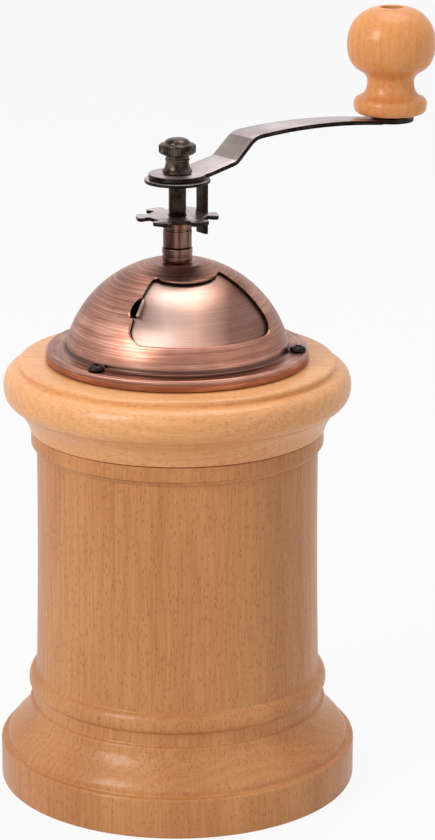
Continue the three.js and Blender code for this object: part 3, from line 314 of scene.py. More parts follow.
# Painted shade for sheet edges, undersides, the dome's inside and the hatch's cut walls.
SHADE_PAINTED_EDGE = metal("painted shade edge", tint(52, 42, 38), tint(24, 19, 17), 0.35, 200.0)
DARK_COPPER = metal("dark bronze", tint(96, 84, 74), tint(42, 34, 29), 0.22, 300.0)
SHAFT_BROWN = metal("dark shaft", tint(56, 46, 38), tint(24, 20, 17), 0.3, 300.0)
BUSH_COPPER = metal(
    "bush copper", tint(140, 104, 92), tint(64, 44, 37), 0.24, 420.0, stretch=(1.0, 1.0, 0.06),
)
SCREW_BLACK = metal("blackened steel", tint(52, 44, 40), tint(20, 17, 16), 0.22, 300.0)
ZINC = metal("zinc plate", tint(206, 208, 210), tint(164, 166, 170), 0.25, 90.0)
IRON = metal("burr iron", tint(112, 112, 115), tint(72, 72, 75), 0.42, 200.0, cast=0.3)
BRASS = metal("bush brass", tint(214, 178, 104), tint(180, 140, 70), 0.26, 120.0)


# ------ making pieces ------
class Section:
    """Half a section: points of radius and height, with straight and curved runs."""

    def __init__(self, radius, height):
        self.points = [(radius, height)]

    def line(self, radius, height):
        self.points.append((radius, height))
        return self

    def curve(self, *controls, steps):
        """A smooth run that leaves and arrives along its control points."""
        anchors = [self.points[-1], *controls]
        for step in range(1, steps + 1):
            share = step / steps
            row = anchors
            while len(row) > 1:
                row = [
                    tuple(a + (b - a) * share for a, b in zip(first, second))
                    for first, second in zip(row, row[1:])
                ]
            self.points.append(row[0])
        return self

    def round_to(self, centre, radius, start, stop, steps):
        """An arc about a point on the axis, angles in degrees above the level."""
        for step in range(steps + 1):
            angle = math.radians(start + (stop - start) * step / steps)
            self.points.append((radius * math.cos(angle), centre + radius * math.sin(angle)))
        return self


WELD = 1e-4


def spun(section, steps, closed=False):
    """The section turned all the way round the Z axis."""
    work = bmesh.new()
    verts = [work.verts.new((radius, 0, height)) for radius, height in section.points]
    edges = [work.edges.new(pair) for pair in zip(verts, verts[1:])]
    if closed:
        edges.append(work.edges.new((verts[-1], verts[0])))
    bmesh.ops.spin(
        work, geom=verts + edges, cent=(0, 0, 0), axis=(0, 0, 1), dvec=(0, 0, 0),
        angle=2 * math.pi, steps=steps, use_merge=True, use_duplicate=False,
    )
    bmesh.ops.remove_doubles(work, verts=work.verts, dist=WELD)
    bmesh.ops.recalc_face_normals(work, faces=work.faces)
    return work


def plate(points, low, high):
    """A flat blank cut to an outline."""
    work = bmesh.new()
    face = work.faces.new([work.verts.new((x, y, low)) for x, y in points])
    made = bmesh.ops.extrude_face_region(work, geom=[face])
    raised = [item for item in made["geom"] if isinstance(item, bmesh.types.BMVert)]
    bmesh.ops.translate(work, verts=raised, vec=(0, 0, high - low))
    bmesh.ops.recalc_face_normals(work, faces=work.faces)
    return work


def block(size, middle):
    """A plain box."""
    work = bmesh.new()
    bmesh.ops.create_cube(work, size=1.0)
    bmesh.ops.scale(work, vec=size, verts=work.verts)
    bmesh.ops.translate(work, verts=work.verts, vec=middle)
    return work


def softened(work, width, least=30.0, segments=2):
    """Rounds every edge that is sharper than an angle in degrees."""
    edges = [
        edge for edge in work.edges
        if edge.is_manifold and edge.calc_face_angle(0) > math.radians(least)
    ]
    bmesh.ops.bevel(
        work, geom=edges, offset=width, offset_type="OFFSET", segments=segments, profile=0.5,
        affect="EDGES", clamp_overlap=True, material=-1,
    )
    return work


def to_object(name, work):
    mesh = bpy.data.meshes.new(name)
    work.to_mesh(mesh)
    work.free()
    made = bpy.data.objects.new(name, mesh)
    bpy.context.scene.collection.objects.link(made)
    return made


def combined(work, other, how="DIFFERENCE"):
    """One solid cut from another, or joined to it."""
    first, second = to_object("first blank", work), to_object("second blank", other)
    step = first.modifiers.new("cut", "BOOLEAN")
    step.object = second
    step.operation = how
    step.solver = "EXACT"
    result = bmesh.new()
    result.from_object(first, bpy.context.evaluated_depsgraph_get())
    for blank in (first, second):
        mesh = blank.data
        bpy.data.objects.remove(blank)
        bpy.data.meshes.remove(mesh)
    bmesh.ops.remove_doubles(result, verts=result.verts, dist=WELD)
    return result


def moved(work, turn=0.0, shift=(0, 0, 0)):
    bmesh.ops.rotate(work, verts=work.verts, cent=(0, 0, 0), matrix=Matrix.Rotation(turn, 3, "Z"))
    bmesh.ops.translate(work, verts=work.verts, vec=shift)
    return work


def finished(
    name, work, finish, body, slot, stands_for=(), crease=32.0, centred=False, others=(), pick=None,
):
    """Scales a piece to metres, smooths its soft edges and puts it on its body.

    centred lays the brushing round the dome's axis; others are further finishes, and pick says
    which face takes which.
    """
    bmesh.ops.scale(work, vec=(MM, MM, MM), verts=work.verts)
    for edge in work.edges:
        edge.smooth = edge.is_manifold and edge.calc_face_angle(0) < math.radians(crease)
    for face in work.faces:
        face.smooth = True
    made = to_object(name, work)
    for layer in (finish, *others):
        made.data.materials.append(layer)
    if pick:
        for face in made.data.polygons:
            face.material_index = pick(face)
    if centred:
        made.data.use_auto_texspace = False
        made.data.texspace_location = (0, 0, SPHERE_CENTRE * MM)
        made.data.texspace_size = (0.05, 0.05, 0.05)
    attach(made, body)
    if stands_for:
        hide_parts(*stands_for)


def sheet_side(face):
    """0 on a sheet's upper side; 1, with painted shade, on its edges and underside; 2, with a lighter painted
    shade, on a steep bend.
    """
    if face.normal.z < 0.6:
        return 1
    return 2 if face.normal.z < 0.86 else 0


def dome_side(face):
    """1, with painted shade, inside the dome and on the hatch's cut walls, 0 outside."""
    spot = face.center / MM
    out = spot - Vector((0, 0, SPHERE_CENTRE))
    inside = out.length < DOME_RADIUS - 0.8 and spot.z > FLANGE_TOP + 0.6
    cut = face.normal.dot(out.normalized()) < 0.35
    on_dome = FLANGE_TOP + 1.5 < spot.z < SPHERE_CENTRE + DOME_RADIUS - 2.0
    return int(inside or (cut and on_dome))


# Sheet pieces: painted shade on edges and undersides, a lighter painted shade on steep bends.
SHEET = {"others": (SHADE_PAINTED_EDGE, SHADE_PAINTED_STEEP_COPPER), "pick": sheet_side}


# ------ wooden pieces ------
def column_section():
    """Foot, cove, ring, waisted column and collar, then down the bore."""
    rim, bore, floor = COLUMN["rim"], COLUMN["bore"], COLUMN["floor"]
    section = Section(0, 0).line(58.3, 0).curve((59.2, 0), (59.2, 0.9), steps=4)
    section.line(59.2, 12.5).curve((59.2, 13.5), (58.2, 13.5), steps=5)
    section.line(57.5, 13.55).curve((57.0, 13.7), (57.0, 14.6), steps=4)
    section.curve((56.7, 17.6), (49.8, 21.3), (49.5, 26.2), steps=20)
    section.curve((49.4, 27.2), (48.6, 27.3), steps=4).curve((48.2, 27.5), (48.2, 28.2), steps=3)
    section.line(48.2, 31.2).curve((48.2, 31.8), (48.6, 31.9), steps=3)
    section.curve((50.2, 32.2), (50.0, 36.9), (47.6, 37.8), steps=14)
    section.curve((47.1, 38.0), (47.1, 38.6), steps=3)
    section.curve((46.0, 76.0), (46.1, 113.9), steps=24)
    section.line(46.0, 114.2).line(46.5, 114.6).curve((46.6, 115.6), (47.6, 115.9), steps=5)
    section.line(47.9, 116.2).line(47.9, rim - 0.4).curve((47.9, rim), (47.5, rim), steps=3)
    section.line(COLUMN["seat"], rim).line(COLUMN["seat"], COLUMN["seat floor"])
    section.line(bore, COLUMN["seat floor"]).line(bore, floor + 6.0)
    section.curve((bore, floor), (bore - 6.0, floor), steps=8).line(0, floor)
    return section


def head_section():
    """Spigot, cove, torus and the small step that carries the flange's land."""
    base, top, bore, spigot = HEAD["base"], HEAD["top"], HEAD["bore"], HEAD["spigot"]
    section = Section(bore, 112.8).line(spigot - 0.6, 112.8).line(spigot, 113.4).line(spigot, base)
    section.line(48.0, base).curve((48.35, base), (48.4, 121.7), steps=3)
    section.curve((49.4, 125.0), (51.6, 128.0), (53.0, 129.1), steps=12).line(53.1, 129.5)
    section.line(53.5, 129.75).curve((56.65, 131.2), (56.65, 135.2), steps=12)
    section.curve((56.65, 139.6), (54.4, 140.9), (51.9, 141.2), steps=14)
    section.curve((51.3, 141.3), (51.4, 141.8), steps=3).curve((52.1, 143.4), (50.4, top), steps=8)
    section.line(HEAD["land radius"], top).line(HEAD["land radius"], HEAD["land"]).line(bore, HEAD["land"])
    return section


def knob_section(base):
    """Flat foot, waist and ball, with the countersunk eye for the pin's head."""
    pin, eye, eye_floor, top = 2.4, 3.8, base + 30.7, base + 35.7
    section = Section(pin, base).line(10.2, base)
    section.curve((12.2, base + 0.1), (12.4, base + 2.0), (12.3, base + 3.7), steps=10)
    section.curve((12.1, base + 5.1), (10.8, base + 5.6), steps=6)
    section.curve((7.9, base + 6.6), (7.85, base + 10.8), steps=10)
    section.curve((7.85, base + 13.0), (10.45, base + 14.4), steps=8)
    section.curve((14.85, base + 16.6), (14.85, base + 23.6), steps=14)
    section.curve((14.85, base + 32.1), (8.2, top - 0.1), (4.3, top), steps=20)
    section.curve((eye, top), (eye, top - 0.5), steps=3).line(eye, eye_floor).line(pin, eye_floor)
    return section


finished("turned_column", spun(column_section(), FINE), COLUMN_BEECH, "column", "beech", ["column_body"])
finished(
    "moulded_ring", spun(head_section(), FINE, closed=True), HEAD_BEECH, "head", "beech", ["head_ring"],
)

knob_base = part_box("knob")[0].z / MM
knob_place = (CRANK_RADIUS * math.cos(CRANK_TURN), CRANK_RADIUS * math.sin(CRANK_TURN), 0)
knob_work = moved(spun(knob_section(knob_base), 72, closed=True), 0, knob_place)
finished("turned_knob", knob_work, KNOB_BEECH, "hand_knob", "beech", ["knob"])


# ------ dome and shutter ------
GROWTH_REACH = 14.0


def on_sphere(radius, azimuth, polar):
    a, p = math.radians(azimuth), math.radians(polar)
    level = radius * math.sin(p)
    return (level * math.sin(a), -level * math.cos(a), SPHERE_CENTRE + radius * math.cos(p))


def radial_block(outline, shells):
    """A block with walls along rays from the dome's centre.

    The outline is in degrees of azimuth and polar angle. Each shell gives a radius and how far the
    outline has grown there, in mm at GROWTH_REACH mm from its middle.
    """
    middle_a = sum(a for a, _ in outline) / len(outline)
    middle_p = sum(p for _, p in outline) / len(outline)
    work = bmesh.new()
    loops = []
    for radius, growth in shells:
        scale = 1 + growth / GROWTH_REACH
        spots = [(middle_a + (a - middle_a) * scale, middle_p + (p - middle_p) * scale) for a, p in outline]
        row = [work.verts.new(on_sphere(radius, *spot)) for spot in spots]
        loops.append([work.edges.new(pair) for pair in zip(row, row[1:] + row[:1])])
    for lower, upper in zip(loops, loops[1:]):
        bmesh.ops.bridge_loops(work, edges=lower + upper)
    for loop in (loops[0], loops[-1]):
        bmesh.ops.triangle_fill(work, edges=loop, use_beauty=True)
    bmesh.ops.recalc_face_normals(work, faces=work.faces)
    return work


def arc_points(centre, reach, start, stop, steps=7):
    """Points on an ellipse in degrees of azimuth and polar angle, both ends included."""
    turns = [math.radians(start + (stop - start) * step / steps) for step in range(steps + 1)]
    return [(centre[0] + reach[0] * math.cos(turn), centre[1] + reach[1] * math.sin(turn)) for turn in turns]


def run_points(start, stop, steps):
    """Points between two corners, both left out."""
    return [
        tuple(a + (b - a) * step / steps for a, b in zip(start, stop)) for step in range(1, steps)
    ]


def hatch_top(azimuth):
    """The hatch's upper edge sags between its corners."""
    across = (azimuth - HATCH["left"]) / (HATCH["right"] - HATCH["left"])
    level = HATCH["top left"] + (HATCH["top right"] - HATCH["top left"]) * across
    return level + 4 * HATCH["sag"] * across * (1 - across)


def hatch_points():
    """The hatch's outline: upper edge, right side, lower edge, and the left side with its grip."""
    left, right, bottom, low = (HATCH[key] for key in ("left", "right", "bottom", "low corner"))
    high, high_left, high_right = (HATCH[key] for key in ("top corner", "top left", "top right"))
    # A corner takes more azimuth near the crown, where a degree is shorter.
    low_reach = (low / math.sin(math.radians(bottom)), low)
    high_reach = (high / math.sin(math.radians(high_right)), high)
    low_left, low_right = left + low_reach[0], right - low_reach[0]
    middle, half, depth = (GRIP[key] for key in ("middle", "half", "depth"))
    upper = run_points((left + high_reach[0], 0), (right - high_reach[0], 0), 24)
    points = [(azimuth, hatch_top(azimuth)) for azimuth, _ in upper]
    points += arc_points((right - high_reach[0], high_right + high), high_reach, -80, 0)
    points += run_points((right, high_right + high), (right, bottom - low), 8)
    points += arc_points((low_right, bottom - low), low_reach, 0, 90, steps=9)
    points += run_points((low_right, bottom), (low_left, bottom), 18)
    points += arc_points((low_left, bottom - low), low_reach, 90, 160, steps=9)
    points += arc_points((left, middle), (depth, half), 90, 270, steps=14)
    points += run_points((left, middle - half), (left, high_left + high), 5)
    points += arc_points((left + high_reach[0], high_left + high), high_reach, 180, 262)
    return points


def level_on(radius, height):
    """Degrees above the level at which a sphere about the dome's centre reaches a height."""
    return math.degrees(math.asin((height - SPHERE_CENTRE) / radius))


def level_at(radius, reach):
    """Degrees above the level at which that sphere is so far from the axis."""
    return math.degrees(math.acos(reach / radius))


def dome_section():
    """Neck, flare, dome, fillet, flange and skirt, then back inside."""
    inner = DOME_RADIUS - DOME_WALL
    rim = SPHERE_CENTRE + DOME_RADIUS - NECK_DROP
    flare = math.radians(NECK_SPREAD)
    spread = (DOME_RADIUS * math.sin(flare), SPHERE_CENTRE + DOME_RADIUS * math.cos(flare))
    edge, low = FLANGE_RADIUS, FLANGE_TOP - SKIRT_DROP
    section = Section(NECK_BORE, rim).line(4.8, rim)
    section.curve((5.2, rim - 0.4), (spread[0] - 2.4, spread[1] + 0.1), spread, steps=12)
    section.round_to(
        SPHERE_CENTRE, DOME_RADIUS, 89.5 - NECK_SPREAD, level_on(DOME_RADIUS, FLANGE_TOP + 0.9), steps=36,
    )
    foot = section.points[-1][0]
    section.curve((foot + 0.1, FLANGE_TOP), (foot + 1.2, FLANGE_TOP), steps=5)
    section.line(edge - 1.2, FLANGE_TOP).curve((edge, FLANGE_TOP), (edge, FLANGE_TOP - 1.2), steps=8)
    section.line(edge, low + 0.3).curve((edge, low), (edge - 0.3, low), steps=3)
    section.line(edge - FLANGE_WALL, low).line(edge - FLANGE_WALL, FLANGE_TOP - FLANGE_WALL)
    section.round_to(
        SPHERE_CENTRE, inner, level_on(inner, FLANGE_TOP - FLANGE_WALL), level_at(inner, NECK_BORE), steps=36,
    )
    return section


def make_dome():
    """The dome with its hatch, whose outer edge is broken a little."""
    deep, far, broken = 30.0, 46.0, 0.3
    shells = [(deep, 0.0), (DOME_RADIUS - 0.35, 0.0), (DOME_RADIUS + 0.02, broken), (far, broken)]
    work = combined(spun(dome_section(), FINE, closed=True), radial_block(hatch_points(), shells))
    # The dome's inside and the hatch's cut walls take a painted shade.
    finished(
        "pressed_dome", work, DOME_COPPER, "head", "copper_plate", ["dome"], centred=True,
        others=[SHADE_PAINTED_EDGE], pick=dome_side,
    )


def sector_block(start, turn, near, far, low, high, steps=24):
    """A wedge-shaped block about the axis."""
    def at(radius, azimuth):
        a = math.radians(azimuth)
        return (radius * math.sin(a), -radius * math.cos(a))

    inner = [at(near, start + turn * step / steps) for step in range(steps + 1)]
    outer = [at(far, start + turn * step / steps) for step in reversed(range(steps + 1))]
    return plate(inner + outer, low, high)


def tab_outline(start, stop):
    """The tab's place in the grip, between two azimuths."""
    high = GRIP["middle"] - GRIP["half"] + TAB["play"]
    low = GRIP["middle"] + GRIP["half"] - TAB["play"]
    return [(start, high), (stop, high), (stop, low), (start, low)]


def make_shutter():
    """A sector of a smaller sphere, with a whole ring round the bush and the tab lanced out."""
    inner = SHUTTER_RADIUS - SHUTTER_WALL
    low = 90 - (HATCH["bottom"] + SHUTTER_LAP["foot"])
    section = Section(NECK_BORE, SPHERE_CENTRE + math.sqrt(inner ** 2 - NECK_BORE ** 2))
    section.round_to(SPHERE_CENTRE, inner, level_at(inner, NECK_BORE) - 0.5, low, steps=28)
    section.round_to(SPHERE_CENTRE, SHUTTER_RADIUS, low, level_at(SHUTTER_RADIUS, NECK_BORE), steps=28)
    left = HATCH["left"] - SHUTTER_LAP["side"] - GRIP["depth"] / 2
    right = HATCH["right"] + SHUTTER_LAP["side"]
    ring = SHUTTER_RADIUS * math.sin(math.radians(SHUTTER_LAP["ring"]))
    spare = sector_block(
        right, 360 - (right - left), ring, 60.0, SPHERE_CENTRE - 10, SPHERE_CENTRE + 60,
    )
    work = combined(spun(section, FINE, closed=True), spare)
    lance = tab_outline(left - 2, HATCH["left"] + TAB["set in"])
    work = combined(work, radial_block(lance, [(25.0, 0.0), (46.0, 0.0)]))
    finished(
        "sliding_shutter", work, SHUTTER_COPPER, "shutter", "copper_plate", ["hatch_shutter"], centred=True,
    )


def make_tab():
    """The tab, lanced from the shutter and bent straight out, with rounded corners."""
    edge = HATCH["left"] + TAB["set in"]
    shells = [(SHUTTER_RADIUS - TAB["root"], 0.0), (SHUTTER_RADIUS + TAB["high"], 0.0)]
    work = softened(radial_block(tab_outline(edge, edge + TAB["wide"]), shells), 0.25)
    finished("shutter_tab", work, SHUTTER_COPPER, "shutter", "copper_plate", crease=50)


make_dome()
make_shutter()
make_tab()


# ------ small fittings ------
def make_flange_screw(index, azimuth):
    """A round-head wood screw with a cross recess, each one stopped at another turn."""
    head = FLANGE_TOP + 0.3
    section = Section(0, head - 14.0).line(0.8, head - 14.0).line(1.4, head - 12.8).line(1.4, head)
    section.line(2.6, head).curve((2.75, head + 0.1), (2.75, head + 0.5), steps=3)
    section.curve((2.6, head + 1.75), (0, head + 1.75), steps=8)
    work = spun(section, 32)
    slot_wide, slot_long, recess = 0.9, 3.0, 2.0
    for size in ((slot_wide, slot_long, recess), (slot_long, slot_wide, recess)):
        work = combined(work, block(size, (0, 0, head + 1.9)))
    a = math.radians(azimuth)
    place = (SCREW_CIRCLE * math.sin(a), -SCREW_CIRCLE * math.cos(a), 0)
    moved(work, math.radians(20 * index), place)
    finished(f"flange_screw_{index}", work, SCREW_BLACK, "head", "dark_bronze", [f"dome_screw_{index}"])


def make_bush():
    """The neck's sleeve under a collar with one turned groove."""
    low, top = 170.7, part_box("top_bush")[1].z / MM
    section = Section(SHAFT_BORE, low).line(3.9, low).line(3.9, top - 3.9).line(4.7, top - 3.9)
    section.curve((4.9, top - 3.9), (4.9, top - 3.6), steps=3).line(4.9, top - 2.6)
    section.line(4.65, top - 2.4).line(4.65, top - 2.0).line(4.9, top - 1.8)
    section.line(4.9, top - 0.4).curve((4.9, top), (4.6, top), steps=3).line(SHAFT_BORE, top)
    work = spun(section, PLAIN, closed=True)
    finished("neck_bush", work, BUSH_COPPER, "head", "copper_plate", ["top_bush"])


def star_points(steps=6):
    """The star plate: round lobes between flat-floored notches, one of them under the crank."""
    half, floor, rim, corner = (STAR[key] for key in ("notch half", "notch floor", "rim", "corner"))
    reach = math.asin((half + corner) / rim)
    pitch = 2 * math.pi / STAR["lobes"]
    side = [
        (rim * math.cos(reach), half + corner), (rim * math.cos(reach) - 0.35, half + 0.45),
        (rim - 1.9, half), (floor + 0.6, half), (floor + 0.15, half - 0.15), (floor, half - 0.6),
    ]
    points = []
    for lobe in range(STAR["lobes"]):
        notch = pitch * lobe
        out = Vector((math.cos(notch), math.sin(notch)))
        across = Vector((-math.sin(notch), math.cos(notch)))
        for radial, aside in [(r, -a) for r, a in side] + list(reversed(side)):
            points.append(tuple(out * radial + across * aside))
        start, stop = notch + reach, notch + pitch - reach
        for step in range(1, steps):
            angle = start + (stop - start) * step / steps
            points.append((rim * math.cos(angle), rim * math.sin(angle)))
    return points


def make_star_nut():
    """A grooved hub that flares under its notched plate."""
    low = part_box("star_nut")[0].z / MM
    under = low + 8.9
    hub = Section(SHAFT_BORE, low).line(4.3, low).curve((4.65, low), (4.65, low + 0.4), steps=3)
    hub.line(4.65, low + 5.4).line(4.45, low + 5.6).line(4.45, low + 5.9)
    hub.line(4.65, low + 6.1).line(4.65, low + 7.9).line(5.65, under)
    hub.line(5.65, under + 0.3).line(SHAFT_BORE, under + 0.3)
    finished("star_hub", spun(hub, PLAIN, closed=True), BUSH_COPPER, "adjuster", "pale_copper")
    star = softened(plate(star_points(), under, under + STAR["thick"]), EDGE_ROUNDING, 40)
    bore = Section(0, 185).line(SHAFT_BORE, 185).line(SHAFT_BORE, 196).line(0, 196)
    star = moved(combined(star, spun(bore, SMALL)), CRANK_TURN)
    finished("star_plate", star, ARM_COPPER, "adjuster", "pale_copper", ["star_nut"], **SHEET)


def make_stopper():
    """The disc, and its claw bent down from the rim on a small radius, with a rounded tip."""
    tip, top = (corner.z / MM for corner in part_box("stopper_plate"))
    rim, low = DISC["rim"], top - DISC["thick"]
    disc = Section(0, low).line(rim - 0.3, low).curve((rim, low), (rim, low + 0.3), steps=3)
    disc.line(rim, top - 0.3).curve((rim, top), (rim - 0.3, top), steps=3).line(0, top)
    finished(
        "stopper_disc", spun(disc, SMOOTH), ARM_COPPER, "spindle", "pale_copper", ["stopper_plate"], **SHEET,
    )
    root = top - CLAW["under top"]
    claw = block((CLAW["thick"], CLAW["wide"], root - tip), (CLAW["middle"], 0, (root + tip) / 2))
    claw = moved(softened(claw, 0.3, 40, 3), CRANK_TURN)
    # The claw, bent from the pale disc, takes the dark shaft finish as painted shade.
    finished("stopper_claw", claw, SHAFT_BROWN, "spindle", "dark_bronze")


def make_shaft():
    """The shaft with a few turns of thread over the star nut, and its stud; its flats are not cut."""
    low, high = (corner.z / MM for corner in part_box("drive_shaft"))
    root = SHAFT_RADIUS - THREAD["depth"]
    shaft = Section(0, low).line(root, low).line(SHAFT_RADIUS, low + 0.3).line(SHAFT_RADIUS, THREAD["start"])
    for turn in range(THREAD["turns"]):
        z = THREAD["start"] + turn * THREAD["pitch"]
        shaft.line(SHAFT_RADIUS, z).line(root, z + 0.2).line(root, z + 0.3)
    shaft.line(2.8, 192.7).line(2.8, 201.4).line(2.4, 201.4).line(2.4, 204.3).line(1.7, 204.4)
    shaft.line(1.7, high).line(0, high)
    finished("threaded_shaft", spun(shaft, SMALL), SHAFT_BROWN, "spindle", "dark_bronze", ["drive_shaft"])


for index, azimuth in enumerate(SCREW_TURNS, 1):
    make_flange_screw(index, azimuth)
make_bush()
make_star_nut()
make_stopper()
make_shaft()


# ------ crank ------
def arm_line():
    """The arm's middle line, as distance from the shaft and height: ramp, step and long arch."""
    ramp_foot, step_foot, step_top = ARM["ramp foot"], ARM["step foot"], ARM["step top"]
    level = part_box("crank_arm")[0].z / MM + ARM["thick"] / 2
    middle = level + ARM["ramp rise"]
    top = middle + ARM["step rise"]
    seat = top - ARM["seat drop"]
    ramp_slope = ARM["ramp rise"] / (step_foot - ramp_foot)
    step_slope = ARM["step rise"] / (step_top - step_foot)
    line = Section(ARM["start"], level).line(ramp_foot - 1.0, level)
    line.curve((ramp_foot, level), (ramp_foot + 1.2, level + 1.2 * ramp_slope), steps=4)
    line.line(step_foot - 1.2, middle - 1.2 * ramp_slope)
    line.curve((step_foot, middle), (step_foot + 0.9, middle + 0.9 * step_slope), steps=6)
    line.line(step_top - 2.0, top - 2.0 * step_slope)
    line.curve((step_top, top), (step_top + 2.4, top + 0.2), steps=8)
    line.curve((ARM["arch"], (top + seat) / 2 + 2.9), (ARM["seat"], seat), steps=30)
    return line.line(ARM["stop"], seat).points


def lengths_along(line):
    """How far each point of a line is from its start, along the line."""
    lengths = [0.0]
    for first, second in zip(line, line[1:]):
        lengths.append(lengths[-1] + math.dist(first, second))
    return lengths


def bent(work):
    """Bends a flat strip along the arm's middle line, keeping its length and thickness."""
    line = arm_line()
    lengths = lengths_along(line)
    for vert in work.verts:
        along = min(max(vert.co.x - ARM["start"], 0.0), lengths[-1] - 1e-6)
        index = max(i for i, length in enumerate(lengths) if length <= along)
        share = (along - lengths[index]) / (lengths[index + 1] - lengths[index])
        first, second = Vector(line[index]), Vector(line[index + 1])
        before = Vector(line[max(index - 1, 0)])
        after = Vector(line[min(index + 2, len(line) - 1)])
        spot = first.lerp(second, share)
        way = (second - before).lerp(after - first, share).normalized()
        rise = vert.co.z
        vert.co = (spot.x - way.y * rise, vert.co.y, spot.y + way.x * rise)
    return work


def arm_length_to(distance):
    """Where the flat strip has the point that the bent arm has at a distance from the shaft."""
    line = arm_line()
    lengths = lengths_along(line)
    index = next(i for i, point in enumerate(line) if point[0] >= distance) - 1
    first, second = line[index], line[index + 1]
    share = (distance - first[0]) / (second[0] - first[0])
    return ARM["start"] + lengths[index] + (lengths[index + 1] - lengths[index]) * share


def make_arm():
    """A flat blank with two round ends, cut across so that it bends smoothly, then bent."""
    end = arm_length_to(CRANK_RADIUS)
    hub, tail = ARM["hub"], ARM["end"]
    hub_join = math.asin(ARM["hub half"] / hub)
    end_join = math.asin(ARM["end half"] / tail)
    points = []
    for step in range(33):
        angle = hub_join + (2 * math.pi - 2 * hub_join) * step / 32
        points.append((hub * math.cos(angle), hub * math.sin(angle)))
    for step in range(29):
        angle = -(math.pi - end_join) + 2 * (math.pi - end_join) * step / 28
        points.append((end + tail * math.cos(angle), tail * math.sin(angle)))
    work = softened(plate(points, -ARM["thick"] / 2, ARM["thick"] / 2), EDGE_ROUNDING, 40)
    for cut in range(1, ARM_CUTS["count"]):
        bmesh.ops.bisect_plane(
            work, geom=work.verts[:] + work.edges[:] + work.faces[:],
            plane_co=(ARM_CUTS["from"] + cut * ARM_CUTS["apart"], 0, 0), plane_no=(1, 0, 0),
        )
    work = moved(bent(work), CRANK_TURN)
    finished("bent_arm", work, ARM_COPPER, "spindle", "pale_copper", ["crank_arm"], crease=25, **SHEET)


def make_thumb_nut():
    """A waisted neck under a knurled head with a low crown."""
    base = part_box("thumb_nut")[0].z / MM
    section = Section(0, base).line(4.6, base).curve((4.8, base), (4.8, base + 0.3), steps=3)
    section.line(4.8, base + 0.8).curve((3.9, base + 1.3), (3.75, base + 3.3), steps=8)
    section.line(3.75, base + 3.8).line(3.95, base + 4.0).line(3.95, base + 4.5).line(3.75, base + 4.7)
    section.line(3.75, base + 5.4).line(5.3, base + 6.1).curve((5.6, base + 6.2), (5.6, base + 6.5), steps=3)
    section.line(5.6, base + 8.9).curve((5.6, base + 9.2), (5.2, base + 9.3), steps=3)
    section.line(4.2, base + 9.6).curve((3.6, base + 11.2), (0, base + 11.2), steps=10)
    knurl, ridge, groove, ridges = [], 5.95, 5.6, 36
    for step in range(2 * ridges):
        reach = ridge if step % 2 == 0 else groove
        angle = math.pi * step / ridges
        knurl.append((reach * math.cos(angle), reach * math.sin(angle)))
    work = combined(spun(section, PLAIN), plate(knurl, base + 6.55, base + 8.85), "UNION")
    finished("thumb_nut_turned", work, DARK_COPPER, "spindle", "dark_bronze", ["thumb_nut"])


def make_washer():
    low, high = knob_base - 0.8, knob_base - 0.3
    section = Section(2.5, low).line(6.3, low).curve((6.5, low), (6.5, low + 0.1), steps=2)
    section.line(6.5, high - 0.1).curve((6.5, high), (6.3, high), steps=2).line(2.5, high)
    work = moved(spun(section, SMALL, closed=True), 0, knob_place)
    finished("foot_washer", work, SCREW_BLACK, "spindle", "dark_bronze", ["knob_washer"])


def make_knob_pin():
    """The pin: riveted under the arm, with a slotted head in the knob's eye."""
    eye = knob_base + 30.7 + 0.3
    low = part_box("knob_axle")[0].z / MM
    rivet = low + 1.0
    pin, head, top = 2.2, 3.3, eye + 2.2
    section = Section(0, low).curve((2.6, low), (2.9, rivet), steps=6).line(pin, rivet).line(pin, eye)
    section.line(head - 0.2, eye).curve((head, eye), (head, eye + 0.2), steps=2).line(head, eye + 1.4)
    section.curve((head - 0.1, top), (0, top), steps=6)
    work = combined(spun(section, 40), block((8.0, 0.9, 1.8), (0, 0, top)))
    work = moved(work, 0.6, knob_place)
    finished("knob_pin", work, SCREW_BLACK, "spindle", "bright_steel", ["knob_axle"])


make_arm()
make_thumb_nut()
make_washer()
make_knob_pin()


# ------ inner pieces keep their solids ------
INNER = {
    "bush_nut": ZINC, "hopper_bowl": ZINC, "guide_bridge": ZINC, "guide_bush": BRASS, "ring_burr": IRON,
    "bridge_screw_1": ZINC, "bridge_screw_2": ZINC, "cone_burr": IRON, "spring_washer": ZINC,
    "burr_spring": ZINC, "burr_washer": ZINC, "burr_nut": ZINC,
}
for name, finish in INNER.items():
    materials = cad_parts[name].data.materials
    materials.clear()
    materials.append(finish)


# ------ stage, light and camera ------
WHITE = (1, 1, 1, 1)
FLOOR_GREY = (0.72, 0.72, 0.72, 1.0)
FLOOR_GLOW = 0.9
AROUND = 0.42
LAMPS = {
    "key": {"place": (-0.88, -0.8, 0.9), "aim": (0, 0, 0.12), "watts": 10.0, "size": (0.5, 0.7)},
    "fill": {"place": (0.9, -0.7, 0.5), "aim": (0, 0, 0.12), "watts": 1.2, "size": (0.5, 0.8)},
    "top": {"place": (0.1, 0.2, 1.1), "aim": (0, 0, 0.1), "watts": 4.5, "size": (0.7, 0.7)},
}
CAMERA = {"place": (0.0131, -0.9437, 0.401), "dip": 16.44, "roll": 0.2, "focus": 3006.0}
PICTURE_HEIGHT = 840.0
SENSOR = 36.0


def seen_directly(tree):
    """1 for the camera and in mirrors and glass, 0 for the light that falls on things."""
    path = tree.nodes.new("ShaderNodeLightPath")
    seen = path.outputs["Is Camera Ray"]
    for name in ("Is Glossy Ray", "Is Transmission Ray"):
        either = tree.nodes.new("ShaderNodeMath")
        either.operation = "MAXIMUM"
        tree.links.new(seen, either.inputs[0])
        tree.links.new(path.outputs[name], either.inputs[1])
        seen = either.outputs[0]
    return seen


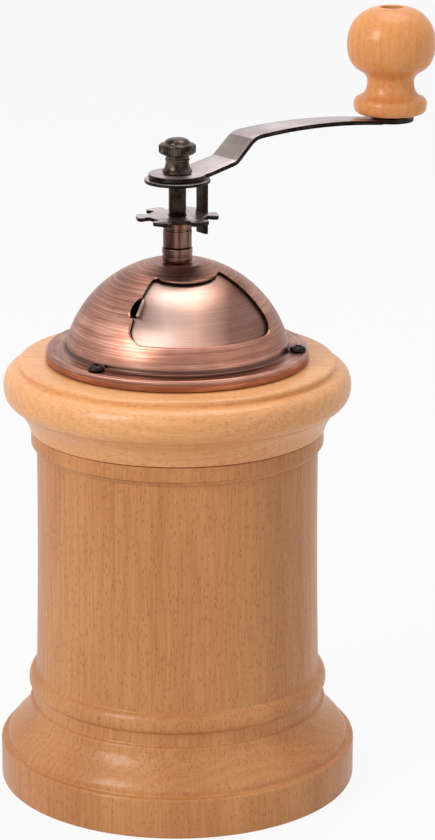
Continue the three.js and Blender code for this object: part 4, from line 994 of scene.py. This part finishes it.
def mixed_into(tree, factor, first, second, output):
    mix = tree.nodes.new("ShaderNodeMixShader")
    for socket, source in zip(mix.inputs, (factor, first, second)):
        tree.links.new(source, socket)
    tree.links.new(mix.outputs[0], output.inputs["Surface"])


def stage_floor():
    """A white floor that keeps a faint shadow of the mill."""
    work = bmesh.new()
    bmesh.ops.create_grid(work, x_segments=1, y_segments=1, size=3.0)
    floor = to_object("floor", work)
    finish = Finish("pale floor")
    finish.set(Base_Color=FLOOR_GREY, Roughness=0.7)
    glow = finish.add("ShaderNodeEmission", {}, WHITE)
    weight = Wire(finish, seen_directly(finish.tree)) * FLOOR_GLOW
    mixed_into(finish.tree, weight.socket, finish.shader.outputs[0], glow.socket, finish.output)
    floor.data.materials.append(finish.material)


def backdrop():
    """Soft light from all round, in front of plain white."""
    world = bpy.data.worlds.new("studio")
    bpy.context.scene.world = world
    world.use_nodes = True
    tree = world.node_tree
    tree.nodes.clear()
    ambient, white = (tree.nodes.new("ShaderNodeBackground") for _ in range(2))
    for source, strength in ((ambient, AROUND), (white, 1.0)):
        source.inputs["Color"].default_value = WHITE
        source.inputs["Strength"].default_value = strength
    output = tree.nodes.new("ShaderNodeOutputWorld")
    mixed_into(tree, seen_directly(tree), ambient.outputs[0], white.outputs[0], output)


def hang_lamp(name, place, aim, watts, size):
    light = bpy.data.lights.new(name, "AREA")
    light.shape = "RECTANGLE"
    light.size, light.size_y = size
    light.energy = watts
    holder = bpy.data.objects.new(name, light)
    bpy.context.scene.collection.objects.link(holder)
    holder.location = place
    holder.rotation_euler = (Vector(aim) - Vector(place)).to_track_quat("-Z", "Y").to_euler()


def set_camera():
    """The photograph's camera: the focus is in its own pixels, the dip and roll in degrees."""
    data = bpy.data.cameras.new("camera")
    data.sensor_fit = "AUTO"
    data.sensor_width = SENSOR
    data.lens = CAMERA["focus"] / PICTURE_HEIGHT * SENSOR
    camera = bpy.data.objects.new("camera", data)
    bpy.context.scene.collection.objects.link(camera)
    camera.location = CAMERA["place"]
    dip = Matrix.Rotation(math.radians(90.0 - CAMERA["dip"]), 3, "X")
    roll = Matrix.Rotation(math.radians(CAMERA["roll"]), 3, "Z")
    camera.rotation_euler = (dip @ roll).to_euler()
    bpy.context.scene.camera = camera


stage_floor()
backdrop()
for name, settings in LAMPS.items():
    hang_lamp(name, **settings)
set_camera()
bpy.context.scene.view_settings.view_transform = "Standard"
